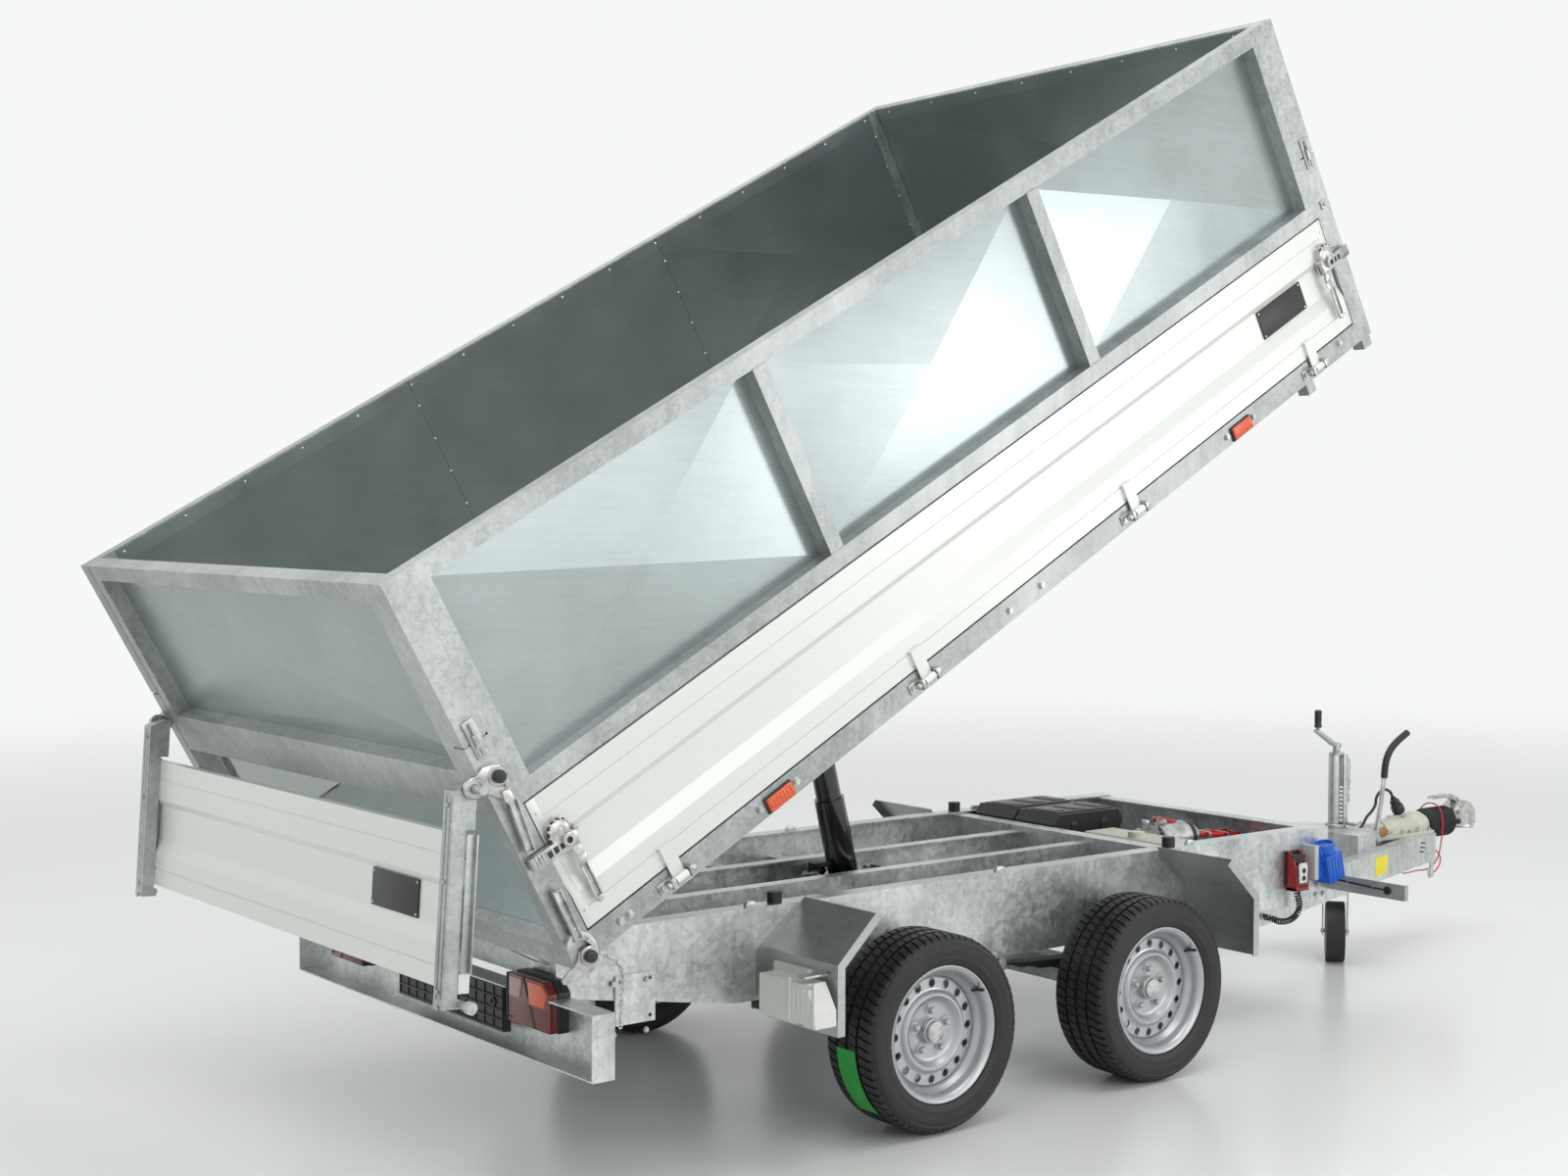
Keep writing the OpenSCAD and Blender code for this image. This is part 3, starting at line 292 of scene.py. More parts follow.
black_gloss = plain("black_gloss", (0.004, 0.004, 0.006), 0.16, mottle=0.3, bump=0.02, Coat_Weight=0.6)
black_frame = plain("black_steel", (0.022, 0.022, 0.024), 0.42, 0.2, 0.3)
red_lens = lens("red_lens", (0.19, 0.012, 0.010))
amber_lens = lens("amber_lens", (1.0, 0.17, 0.01))
clear_lens = lens("clear_lens", (0.50, 0.33, 0.30))
orange_lens = lens("orange_lens", (0.85, 0.10, 0.01))
cream = plain("cream_plastic", (0.74, 0.74, 0.62), 0.4, mottle=0.08)
ivory_cast = plain("ivory_cast", (0.60, 0.60, 0.50), 0.42, 0.15, 0.16, 200, 0.2, 30)
blue_plastic = plain("blue_plastic", (0.015, 0.12, 0.62), 0.3, mottle=0.14)
red_plastic = plain("red_plastic", (0.32, 0.012, 0.014), 0.35)
white_plastic = plain("white_plastic", (0.80, 0.82, 0.76), 0.4, mottle=0.06)
grey_plastic = plain("grey_plastic", (0.52, 0.54, 0.52), 0.4)
green_plastic = plain("green_plastic", (0.16, 0.55, 0.38), 0.4)
red_cable = plain("red_cable", (0.62, 0.012, 0.014), 0.32)
black_cable = plain("black_cable", (0.014, 0.014, 0.015), 0.38)
yellow_label = plain("yellow_label", (0.92, 0.74, 0.02), 0.4, mottle=0.04)
green_label = plain("green_label", (0.02, 0.36, 0.05), 0.4, mottle=0.25, scale=60)
pale_label = plain("pale_label", (0.70, 0.72, 0.68), 0.4, mottle=0.15, scale=80)
clear_film = crumpled_film()

LOOKS = {
    galvanised: ["side_rails", "cross_members", "pivot_brackets", "drawbar", "rear_beam", "axles",
                 "spring_hangers"],
    galvanised_bed: ["floor_frame", "corner_posts", "extension_sides", "extension_ends",
                     "tailgate_uprights"],
    zinc_sheet: ["extension_panels", "floor_sheet"],
    guard_sheet: ["spray_guards", "marker_brackets"],
    anodised: ["side_board_left", "side_board_right", "tailgate_panel", "front_wall"],
    plated: ["board_hinges", "tailgate_hooks", "coupling_head", "jockey_tube", "jockey_fork", "pump_motor"],
    black_rubber: ["rubber_pads", "bellows", "jockey_wheel"],
    tyre_black: ["tyre_rear_left", "tyre_rear_right", "tyre_front_left", "tyre_front_right"],
    rim_silver: ["rim_rear_left", "rim_rear_right", "rim_front_left", "rim_front_right"],
    black_plastic: ["battery_box", "plate_holder", "handbrake_lever", "remote_control"],
    black_frame: ["leaf_springs", "cylinder_cradle"],
    black_gloss: ["cylinder_base", "cylinder_stage_1", "cylinder_stage_2", "cylinder_stage_3",
                  "cylinder_stage_4"],
    red_lens: ["tail_lamps"],
    amber_lens: ["side_markers"],
    cream: ["oil_tank"],
    ivory_cast: ["overrun_housing"],
    blue_plastic: ["power_inlet"],
    white_plastic: ["wheel_chocks"],
}
for look, nodes in LOOKS.items():
    for name in nodes:
        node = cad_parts[name]
        node.data.materials.clear()
        node.data.materials.append(look)


# ---------------------------------------------------------------- stage
def lay_floor():
    shape = bmesh.new()
    bmesh.ops.create_circle(shape, cap_ends=True, radius=60, segments=96)
    mesh = bpy.data.meshes.new("floor")
    shape.to_mesh(mesh)
    floor = bpy.data.objects.new("floor", mesh)
    floor.location = (0, 0, -0.001)
    bpy.context.scene.collection.objects.link(floor)
    f = Finish("floor")
    far = f.node("ShaderNodeVectorMath", {"operation": "LENGTH"}, {0: f.place}, out="Value")
    veil = f.between(far, 4.5, 13)
    near = f.node("ShaderNodeBsdfPrincipled", {}, {"Base Color": (0.86, 0.88, 0.85, 1),
                                                  "Roughness": 0.22, "Specular IOR Level": 0.35})
    glow = f.node("ShaderNodeEmission", {}, {"Color": (0.92, 0.945, 0.93, 1), "Strength": 1.0})
    f.node("ShaderNodeOutputMaterial", {}, {"Surface": f.node("ShaderNodeMixShader", {},
                                            {0: veil, 1: near, 2: glow})})
    mesh.materials.append(f.material)


def set_world():
    world = bpy.data.worlds.new("studio")
    bpy.context.scene.world = world
    world.use_nodes = True
    tree = world.node_tree
    tree.nodes.clear()
    rays = tree.nodes.new("ShaderNodeLightPath")
    seen = tree.nodes.new("ShaderNodeMath")
    seen.operation = "MAXIMUM"
    also = tree.nodes.new("ShaderNodeMath")
    also.operation = "MAXIMUM"
    tree.links.new(rays.outputs["Is Camera Ray"], seen.inputs[0])
    tree.links.new(rays.outputs["Is Transmission Ray"], seen.inputs[1])
    tree.links.new(seen.outputs[0], also.inputs[0])
    tree.links.new(rays.outputs["Is Glossy Ray"], also.inputs[1])
    backdrop = tree.nodes.new("ShaderNodeBackground")
    backdrop.inputs["Color"].default_value = (0.92, 0.945, 0.93, 1)
    room = tree.nodes.new("ShaderNodeBackground")
    room.inputs["Color"].default_value = (0.97, 0.98, 1.0, 1)
    room.inputs["Strength"].default_value = 0.55
    mix = tree.nodes.new("ShaderNodeMixShader")
    tree.links.new(also.outputs[0], mix.inputs[0])
    tree.links.new(room.outputs[0], mix.inputs[1])
    tree.links.new(backdrop.outputs[0], mix.inputs[2])
    out = tree.nodes.new("ShaderNodeOutputWorld")
    tree.links.new(mix.outputs[0], out.inputs[0])


def add_lamp(name, place, aim, size, watts):
    data = bpy.data.lights.new(name, "AREA")
    data.shape = "RECTANGLE"
    data.size, data.size_y = size
    data.energy = watts
    lamp = bpy.data.objects.new(name, data)
    way = Vector(aim) - Vector(place)
    lamp.matrix_world = Matrix.Translation(place) @ way.to_track_quat("-Z", "Y").to_matrix().to_4x4()
    bpy.context.scene.collection.objects.link(lamp)


lay_floor()
set_world()
add_lamp("ceiling", (-0.5, -1.0, 6.5), (0, 0, 0), (6, 4), 210)
add_lamp("side", (-0.8, -6.5, 3.2), (0, 0, 1.3), (6, 3), 78)
add_lamp("glint", (4.1, -6.0, 2.3), (0.5, -0.9, 2.0), (1.5, 1.9), 50)
add_lamp("rear", (-6.5, 1.5, 3.5), (0, 0, 1), (3, 3), 38)
bpy.context.scene.view_settings.view_transform = "Standard"


# ---------------------------------------------------------------- modelling
AXES = {"x": Matrix(((0, 0, 1, 0), (1, 0, 0, 0), (0, 1, 0, 0), (0, 0, 0, 1))),
        "y": Matrix(((1, 0, 0, 0), (0, 0, 1, 0), (0, 1, 0, 0), (0, 0, 0, 1))),
        "z": Matrix.Identity(4)}


def along(start, way):
    """The matrix that lays what is drawn up Z from the origin along way, from start."""
    return Matrix.Translation(start) @ Vector(way).to_track_quat("Z", "Y").to_matrix().to_4x4()


def curve(points, steps):
    """Points on a smooth line through the given ones."""
    p = [Vector(q) for q in points]
    made = []
    for i in range(len(p) - 1):
        a, b, c, d = p[max(i - 1, 0)], p[i], p[i + 1], p[min(i + 2, len(p) - 1)]
        for k in range(steps):
            t = k / steps
            made.append(0.5 * (2 * b + (c - a) * t + (2 * a - 5 * b + 4 * c - d) * t ** 2
                               + (3 * b - a - 3 * c + d) * t ** 3))
    return made + [p[-1]]


class Work:
    """A piece in the making, drawn in millimetres in the frame of what carries it."""

    def __init__(self):
        self.shape = bmesh.new()

    def add(self, part, turn=None, bevel=0.0, steps=2):
        bmesh.ops.recalc_face_normals(part, faces=part.faces)
        if all(e.is_manifold for e in part.edges) and part.calc_volume(signed=True) < 0:
            bmesh.ops.reverse_faces(part, faces=part.faces)
        if bevel:
            sharp = [e for e in part.edges if len(e.link_faces) == 2 and e.calc_face_angle(0) > 0.6]
            bmesh.ops.bevel(part, geom=sharp, offset=bevel, offset_type="OFFSET", segments=steps,
                            profile=0.5, affect="EDGES", clamp_overlap=True, material=-1)
        if turn is not None:
            part.transform(turn)
            if turn.determinant() < 0:
                bmesh.ops.reverse_faces(part, faces=part.faces)
        return self.take(part)

    def take(self, part):
        mesh = bpy.data.meshes.new("part")
        part.to_mesh(mesh)
        part.free()
        self.shape.from_mesh(mesh)
        bpy.data.meshes.remove(mesh)
        return self

    def block(self, low, high, bevel=1.0, turn=None, steps=2):
        part = bmesh.new()
        size = [b - a for a, b in zip(low, high)]
        middle = [(a + b) / 2 for a, b in zip(low, high)]
        bmesh.ops.create_cube(part, size=1, matrix=Matrix.Translation(middle) @ Matrix.Diagonal((*size, 1)))
        return self.add(part, turn, bevel, steps)

    def prism(self, outline, axis, low, high, bevel=0.8, turn=None, steps=2):
        """An outline in the two other axes, from low to high along the named one."""
        part = bmesh.new()
        face = part.faces.new([part.verts.new((a, b, low)) for a, b in outline])
        grown = bmesh.ops.extrude_face_region(part, geom=[face])["geom"]
        bmesh.ops.translate(part, vec=(0, 0, high - low), verts=[g for g in grown if isinstance(g, bmesh.types.BMVert)])
        part.transform(AXES[axis])
        return self.add(part, turn, bevel, steps)

    def rod(self, start, end, radius, tip=None, bevel=0.6, sides=24, steps=2):
        start, end = Vector(start), Vector(end)
        part = bmesh.new()
        bmesh.ops.create_cone(part, cap_ends=True, radius1=radius, radius2=radius if tip is None else tip,
                              depth=(end - start).length, segments=sides)
        part.transform(Matrix.Translation((0, 0, (end - start).length / 2)))
        return self.add(part, along(start, end - start), bevel, steps)

    def turned(self, profile, place=(0, 0, 0), way=(0, 0, 1), sides=48, ring=False):
        """Turns a profile of radii and heights; a ring's profile closes on itself."""
        part = bmesh.new()
        dots = [part.verts.new((r, 0, h)) for r, h in profile]
        lines = [part.edges.new((dots[i - 1], dots[i])) for i in range(0 if ring else 1, len(dots))]
        bmesh.ops.spin(part, geom=dots + lines, cent=(0, 0, 0), axis=(0, 0, 1), angle=math.tau,
                       steps=sides, use_merge=True, use_duplicate=False)
        bmesh.ops.remove_doubles(part, verts=part.verts, dist=0.001)
        return self.add(part, along(place, way))

    def sweep(self, path, radius, sides=10, tip=None):
        """A round bar or cable along a path, with closed ends."""
        path = [Vector(p) for p in path]
        part = bmesh.new()
        rings = []
        side = None
        for i, at in enumerate(path):
            ahead = (path[min(i + 1, len(path) - 1)] - path[max(i - 1, 0)]).normalized()
            if side is None:
                side = ahead.cross(Vector((0.3, 0.9, 0.2)))
            side = (side - ahead * side.dot(ahead)).normalized()
            other = ahead.cross(side)
            wide = radius if tip is None else radius + (tip - radius) * i / (len(path) - 1)
            rings.append([part.verts.new(at + wide * (math.cos(k * math.tau / sides) * side
                                                      + math.sin(k * math.tau / sides) * other))
                          for k in range(sides)])
        for a, b in zip(rings, rings[1:]):
            for k in range(sides):
                part.faces.new((a[k], a[(k + 1) % sides], b[(k + 1) % sides], b[k]))
        part.faces.new(rings[0][::-1])
        part.faces.new(rings[-1])
        return self.add(part)

    def bolt(self, place, way, size=8, washer=True, nut=False):
        """A hexagon head of that thread, with its washer."""
        place, way = Vector(place), Vector(way).normalized()
        if washer:
            self.rod(place, place + way * size * 0.2, size * 1.1, bevel=0.3, steps=1)
        self.rod(place + way * size * 0.2, place + way * size * 0.85, size * 0.92, bevel=0.5, sides=6, steps=1)
        if nut:
            self.rod(place, place + way * size * 1.15, size * 0.46, bevel=0.5, sides=16, steps=1)
        return self

    def mirrored(self):
        twin = self.shape.copy()
        twin.transform(Matrix.Diagonal((1, -1, 1, 1)))
        bmesh.ops.reverse_faces(twin, faces=twin.faces)
        return self.take(twin)

    def done(self, name, place, look, body, slot, stands_for=(), angle=32):
        self.shape.transform(place)
        mesh = bpy.data.meshes.new(name)
        self.shape.to_mesh(mesh)
        self.shape.free()
        mesh.shade_smooth()
        mesh.set_sharp_from_angle(angle=math.radians(angle))
        mesh.materials.append(look)
        piece = bpy.data.objects.new(name, mesh)
        bpy.context.scene.collection.objects.link(piece)
        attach(piece, body)
        if stands_for:
            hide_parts(*stands_for)
        return piece


# ---------------------------------------------------------------- wheels
def tyre_shape():
    """A tyre around Z: carcass, two rows of middle blocks and two of shoulder blocks."""
    half = [(166, 60), (166, 76), (183, 79.5), (184.5, 86), (197, 91), (201, 93.5), (203, 93), (216, 96),
            (228, 97), (238, 95.5), (240, 96.5), (242, 95), (249, 90), (253, 82), (254, 70)]
    tyre = Work()
    tyre.turned(half + [(255, 50), (255, 0), (255, -50)] + [(r, -h) for r, h in reversed(half)], sides=96, ring=True)
    pitch = math.tau / 66
    rows = [([(250, 86), (255.5, 85), (259.5, 78), (261.5, 68), (262, 52), (262, 43.5), (254, 43.5)], 0.78, 0.0),
            ([(254, 34), (262, 34.5), (262, 7.5), (254, 7)], 0.86, 0.35)]
    for outline, share, shift in rows:
        for way in (1, -1):
            for i in range(66):
                part = bmesh.new()
                dots = [part.verts.new((r, 0, h * way)) for r, h in outline]
                face = part.faces.new(dots)
                bmesh.ops.spin(part, geom=[face], cent=(0, 0, 0), axis=(0, 0, 1), angle=pitch * share,
                               steps=1, use_duplicate=False)
                lean = [v for v in part.verts]
                for v in lean:
                    v.co.rotate(Matrix.Rotation(0.0011 * (abs(v.co.z) - 44) * way, 3, "Z"))
                tyre.add(part, Matrix.Rotation(pitch * (i + shift + (0.5 if way < 0 else 0)), 4, "Z"))
    return tyre


def rim_shape():
    """A pressed steel wheel around Z, seen from its outer side, +Z."""
    rim = Work()
    outer = [(181, 84), (182.5, 82), (181, 79.5), (174, 78), (169, 74), (165.5, 66), (163.5, 56), (161, 46),
             (152, 40), (149, 30), (149, -14), (163, -26), (163.5, -60), (166, -72), (174, -78), (181, -80),
             (181, -84), (176, -82), (168, -78), (161, -66), (160.5, -28), (146, -16), (146, 32), (150, 43),
             (158, 50), (160.5, 58), (162.5, 68), (166, 77), (172, 81.5), (178, 84.5)]
    rim.turned(outer, sides=96, ring=True)
    rim.turned([(146.5, -4), (146.5, 22), (143, 30), (140, 32), (141, 35.5), (146, 32), (149.5, 24), (149.5, -4)],
               sides=96, ring=True)
    rim.turned([(115, 35), (110, 37), (106, 43), (101, 47), (95, 47), (90, 43), (84, 34), (78, 29), (72, 27.5),
                (34, 27.5), (34, 23), (73, 23.5), (80, 25), (87, 30), (93, 39), (97, 42), (101, 40), (105, 33),
                (114, 31)], sides=96, ring=True)
    part = bmesh.new()
    for radius, count, at in [(141, 96, (0, 0)), (114, 96, (0, 0))] + [
            (10.5, 18, (128 * math.cos(i * math.tau / 16), 128 * math.sin(i * math.tau / 16))) for i in range(16)]:
        bmesh.ops.create_circle(part, cap_ends=False, radius=radius, segments=count,
                                matrix=Matrix.Translation((at[0], at[1], 31.5)))
    bmesh.ops.triangle_fill(part, use_beauty=True, edges=part.edges)
    grown = bmesh.ops.extrude_face_region(part, geom=list(part.faces))["geom"]
    bmesh.ops.translate(part, vec=(0, 0, 3.5), verts=[g for g in grown if isinstance(g, bmesh.types.BMVert)])
    rim.add(part)
    for i in range(16):
        turn = i * math.tau / 16
        rim.turned([(10.2, 30), (10.2, 36), (11.6, 37.2), (13.4, 35)],
                   (128 * math.cos(turn), 128 * math.sin(turn), 0), sides=18)
    rim.turned([(34, 22), (34, 44), (32, 46), (29, 46), (28, 44), (28, 22)], sides=48, ring=True)
    for i in range(5):
        turn = math.radians(i * 72 + 18)
        at = (56 * math.cos(turn), 56 * math.sin(turn))
        rim.turned([(0, 44), (7, 43.5), (9, 41), (9, 30), (13.5, 29), (14.5, 27), (14.5, 26)], (*at, 0), sides=6)
        rim.turned([(16, 26), (17, 28), (19.5, 28.6), (21, 26.5)], (*at, 0), sides=24)
    rim.rod((0, 0, -80), (0, 0, -10), 110, 104, bevel=2, sides=48)
    return rim


tyre_master, rim_master = tyre_shape(), rim_shape()
for end, x in (("rear", 0), ("front", AXLE_GAP)):
    for side, s in (("left", 1), ("right", -1)):
        wheel = CHASSIS @ Matrix.Translation((x, s * TRACK, TYRE_R)) @ Matrix.Rotation(math.radians(-90 * s), 4, "X")
        body = f"wheel_{end}_{side}"
        for master, kind, look, slot in ((tyre_master, "tyre", tyre_black, "tyre_rubber"),
                                         (rim_master, "rim", rim_silver, "rim_silver")):
            copy = Work()
            copy.shape = master.shape.copy()
            copy.done(f"{kind}_{end}_{side}_look", wheel, look, body, slot, [f"{kind}_{end}_{side}"])
        cap = Work()
        cap.turned([(0, 55), (20, 55), (27, 53.5), (28, 51), (28, 44), (30, 42), (30, 30)], sides=48)
        cap.done(f"hub_cap_{end}_{side}", wheel, plated, body, "zinc_fitting")
        valve = Work()
        valve.sweep([(118, 96, 62), (124, 100, 74), (126, 102, 92)], 4.2, 12)
        valve.rod((126, 102, 90), (127, 103, 99), 4.8, 4.2, sides=14)
        valve.turned([(30.2, 43), (31.8, 45), (33, 43.5), (33, 40)], sides=48)
        valve.done(f"valve_{end}_{side}", wheel, black_rubber, body, "black_rubber")
wheel = CHASSIS @ Matrix.Translation((0, -TRACK, TYRE_R)) @ Matrix.Rotation(math.radians(90), 4, "X")
sticker = Work()
for start, spread, r in ((3.20, 0.75, 262.6),):
    part = bmesh.new()
    face = part.faces.new([part.verts.new((r, 0, h)) for h in (-40, 34)] + [part.verts.new((r + 0.7, 0, h)) for h in (34, -40)])
    bmesh.ops.spin(part, geom=[face], cent=(0, 0, 0), axis=(0, 0, 1), angle=spread, steps=8, use_duplicate=False)
    sticker.add(part, Matrix.Rotation(start, 4, "Z"))
sticker.done("tread_label", wheel, green_label, "wheel_rear_right", "tyre_rubber")
tyre_master.shape.free()
rim_master.shape.free()


# ---------------------------------------------------------------- bed
def profile(height, thick, low=0.0):
    """The outline of an extruded drop side, from its bottom up: depth, height."""
    steps = [(0, 0), (thick, 0), (thick, .26), (thick - 11, .37), (thick - 11, .64), (thick, .69), (thick, 1), (0, 1)]
    return [(d, low + height * h) for d, h in steps]


BOARD_V, BOARD_TOP, POST = 65, 401, 66
HINGES = [BED_L * (0.102 + 0.2695 * i) for i in range(4)]

# End caps of the drop sides, each with its screws
for side, s in (("left", 1), ("right", -1)):
    caps = Work()
    for u, way in ((POST + 5, 1), (BED_L - POST - 5, -1)):
        outline = [(s * (HALF_W - 27 + d + 0.4 * (d > 0)), v) for d, v in profile(335, 27, BOARD_V + 0.4)]
        caps.prism(outline, "x", min(u - way * 1.6, u + way * 22), max(u - way * 1.6, u + way * 22), 0.5)
        for v in (BOARD_V + 40, BOARD_V + 300):
            caps.bolt((u + way * 12, s * (HALF_W + 0.5), v), (0, s, 0), 4.2, washer=False)
    caps.done(f"board_end_caps_{side}", BED, anodised, f"board_{side}", "anodised")

plates = Work().block((2786, -862, 193), (3000, -857.6, 277), 0.6)
plates.done("side_name_plate", BED, black_plastic, "board_right", "black_plastic")
rivets = Work()
for u in (2794, 2992):
    for v in (200, 270):
        rivets.turned([(0, 1.6), (2.4, 1.1), (3.2, 0)], (u, -862, v), (0, -1, 0), 16)
rivets.done("side_plate_rivets", BED, plated, "board_right", "zinc_fitting")
Work().block((-25.4, -660, 192), (-20.6, -440, 278), 0.6).done(
    "gate_name_plate", GATE, black_plastic, "tailgate", "black_plastic")
rivets = Work()
for y in (-652, -448):
    for v in (199, 271):
        rivets.turned([(0, 1.6), (2.4, 1.1), (3.2, 0)], (-25.4, y, v), (-1, 0, 0), 16)
rivets.done("gate_plate_rivets", GATE, plated, "tailgate", "zinc_fitting")

# Corner latches: a slotted drum and a claw over the post, with a lever that hangs; black pieces in the drum's slots,
# the ring's hole and the claw's slots are painted shade
for side, s in (("left", 1), ("right", -1)):
    latch, dark = Work(), Work()
    for u, way in ((104, 1), (BED_L - 104, -1)):
        face = Matrix(((way, 0, 0, u), (0, 0, s, s * HALF_W), (0, 1, 0, 298), (0, 0, 0, 1)))
        latch.prism([(-30, -46), (36, -46), (42, -38), (42, 6), (30, 30), (8, 40), (-18, 36), (-30, 18)],
                    "z", 0.2, 4.2, 0.8, face)
        latch.add(Work().turned([(0, 25), (8, 25), (10, 23), (24, 22.5), (31, 18), (33, 13), (33, 4)]).shape,
                  face @ Matrix.Translation((2, 6, 0)))
        for k in range(9):
            turn = face @ Matrix.Translation((2, 6, 0)) @ Matrix.Rotation(math.radians(-40 + k * 28), 4, "Z")
            dark.block((-4.2, 22.5, 10), (4.2, 32.6, 19.6), 1.0, turn)
            latch.block((-2.2, 20, 17), (2.2, 34.2, 22), 1.0, turn @ Matrix.Rotation(math.radians(14), 4, "Z"))
        latch.prism([(-96, -34), (34, -44), (40, -10), (26, -2), (-20, -6), (-96, -4)], "z", 6, 21, 1.8, face)
        for k in range(4):
            latch.block((-92 + k * 9, -36, 20), (-88 + k * 9, -3, 23), 1.0, face)
        for k in range(3):
            dark.block((-50 + k * 18, -30, 20.6), (-38 + k * 18, -14, 21.8), 1.0, face)
        ring = Work().turned([(8, 34), (14, 34), (16, 32), (16, 20), (8, 20)], ring=True)
        latch.add(ring.shape, face @ Matrix.Translation((8, -16, 0)))
        dark.add(Work().turned([(0, 31), (8, 31), (8, 20)]).shape, face @ Matrix.Translation((8, -16, 0)))
        latch.add(Work().rod((0, 0, 4), (0, 0, 27), 6.5).shape, face @ Matrix.Translation((38, -4, 0)))
        latch.prism([(8, -34), (30, -38), (36, -60), (34, -72), (22, -72), (12, -58)], "z", 8, 18, 1.6, face)
        lever = [(14, -66), (34, -62), (40, -78), (30, -92), (30, -176), (26, -190), (14, -192), (8, -184), (10, -92)]
        latch.prism(lever, "z", 12, 15.5, 0.9, face)
        latch.prism([(8, -94), (13, -94), (13, -182), (8, -180)], "z", 15, 20, 1.2, face)
        latch.prism([(25, -94), (30, -94), (30, -176), (25, -180)], "z", 15, 20, 1.2, face)
        latch.prism([(9, -178), (29, -174), (26, -190), (14, -192)], "z", 15, 20, 1.2, face)
    latch.done(f"corner_latches_{side}", BED, plated, f"board_{side}", "zinc_fitting")
    # Painted shade in the latches' hollows, drawn with the black plastic finish
    dark.done(f"latch_painted_shade_{side}", BED, black_plastic, f"board_{side}", "black_plastic")

# Hooks of the tailgate, in place of the solid ones
hooks, lids = Work(), Work()
pin_u, pin_v, low_v = -24, 503, 38
Y1, Y2 = HALF_W + 0.4, HALF_W + 12
hooks.turned([(11, Y1), (24, Y1), (24, Y2 - 2), (22, Y2), (21, Y2 + 2.5), (17, Y2 + 2.5), (16, Y2), (11, Y2)],
             (pin_u, 0, pin_v), (0, 1, 0), ring=True)
hooks.prism([(pin_u + 16, pin_v + 18), (14, pin_v + 30), (40, pin_v + 22), (58, pin_v), (58, pin_v - 22),
             (54, pin_v - 46), (40, pin_v - 60), (24, pin_v - 58), (10, pin_v - 42), (pin_u + 14, pin_v - 20),
             (pin_u + 12, pin_v)], "y", Y1, Y2, 1.6)
hooks.turned([(14, Y2 - 2), (24, Y2 - 2), (24, Y2 + 2), (22, Y2 + 4), (14, Y2 + 4)], (36, 0, pin_v - 6), (0, 1, 0), ring=True)
lids.turned([(0, Y2 + 17), (10, Y2 + 16.5), (14.5, Y2 + 14), (15, Y2 + 11), (15, Y2)], (36, 0, pin_v - 6), (0, 1, 0), 32)
hooks.rod((44, Y2 - 1, pin_v - 36), (44, Y2 + 4, pin_v - 36), 4)


def channel(u1, v1, u2, v2, wide, deep=11):
    """A pressed lever from one end to the other: a web between two lips, rounded at its end."""
    length = math.hypot(u2 - u1, v2 - v1)
    turn = (Matrix.Translation((u1, Y2, v1)) @ Matrix.Rotation(math.atan2(u2 - u1, v2 - v1), 4, "Y"))
    hooks.block((-wide / 2, 0.5, 0), (wide / 2, 3.5, length), 0.8, turn)
    for side in (-1, 1):
        hooks.block((side * wide / 2 - 1.6, 0.5, 0), (side * wide / 2 + 1.6, deep, length), 0.9, turn)
    hooks.block((-wide / 2, 0.5, length - 3), (wide / 2, deep, length), 0.9, turn)


hooks.prism([(26, pin_v - 40), (46, pin_v - 44), (46, pin_v - 78), (30, pin_v - 82), (22, pin_v - 62)], "y", Y2 - 1, Y2 + 6, 1.6)
channel(38, pin_v - 72, 22, pin_v - 196, 20)
channel(30, 64, 34, 196, 18)
hooks.prism([(-6, 60), (2, 74), (20, 84), (44, 80), (62, 60), (68, 34), (62, 8), (50, -6), (42, -2), (50, 16), (52, 36),
             (44, 54), (28, 62), (12, 58), (4, 50)], "y", Y1, Y2 + 2, 1.8)
hooks.prism([(24, 74), (46, 70), (44, 96), (24, 96)], "y", Y2 - 4, Y2 + 5, 1.4)
hooks.prism([(-46, -6), (-10, -18), (30, -22), (56, -12), (60, 10), (44, 30), (22, 34), (8, 20), (-6, 14), (-26, 12),
             (-46, 6)], "y", Y1, Y2 - 3, 1.4)
hooks.turned([(14, Y2 - 4), (22, Y2 - 4), (22, Y2 + 3), (20, Y2 + 5), (14, Y2 + 5)], (37, 0, 16), (0, 1, 0), ring=True)
lids.turned([(0, Y2 + 17), (10, Y2 + 16.5), (14.5, Y2 + 14), (15, Y2 + 11), (15, Y2)], (37, 0, 16), (0, 1, 0), 32)
hooks.rod((52, Y2 - 4, 52), (52, Y2 + 5, 52), 4)
hooks.mirrored().done("tailgate_hook_fittings", BED, plated, "bed", "zinc_fitting", ["tailgate_hooks"])
lids.mirrored().done("hook_caps", BED, black_plastic, "bed", "black_plastic")

# A chain from the lower hook, hanging
down = lambda x, z: (x * math.cos(TIP) + z * math.sin(TIP), z * math.cos(TIP) - x * math.sin(TIP))
chain = Work()
route = []
for x, z in ((0, 0), (22, -10), (44, -26), (58, -48), (60, -74), (57, -100), (55, -126), (54, -150), (53, -172)):
    du, dv = down(x, z)
    route.append((62 + du, 0, 4 + dv))
line = curve(route, 2)
for i in range(len(line) - 1):
    ahead = (line[i + 1] - line[i]).normalized()
    flat = ahead.cross(Vector((0, 1, 0))) if i % 2 else Vector((0, 1, 0))
    middle = (line[i] + line[i + 1]) / 2 + Vector((0, HALF_W + 16, 0))
    oval = [middle + ahead * 10 * math.cos(a) + flat * 5.2 * math.sin(a) for a in [k * math.tau / 16 for k in range(17)]]
    chain.sweep(oval, 1.7, 7)
chain.mirrored().done("hook_chains", BED, plated, "bed", "zinc_fitting")
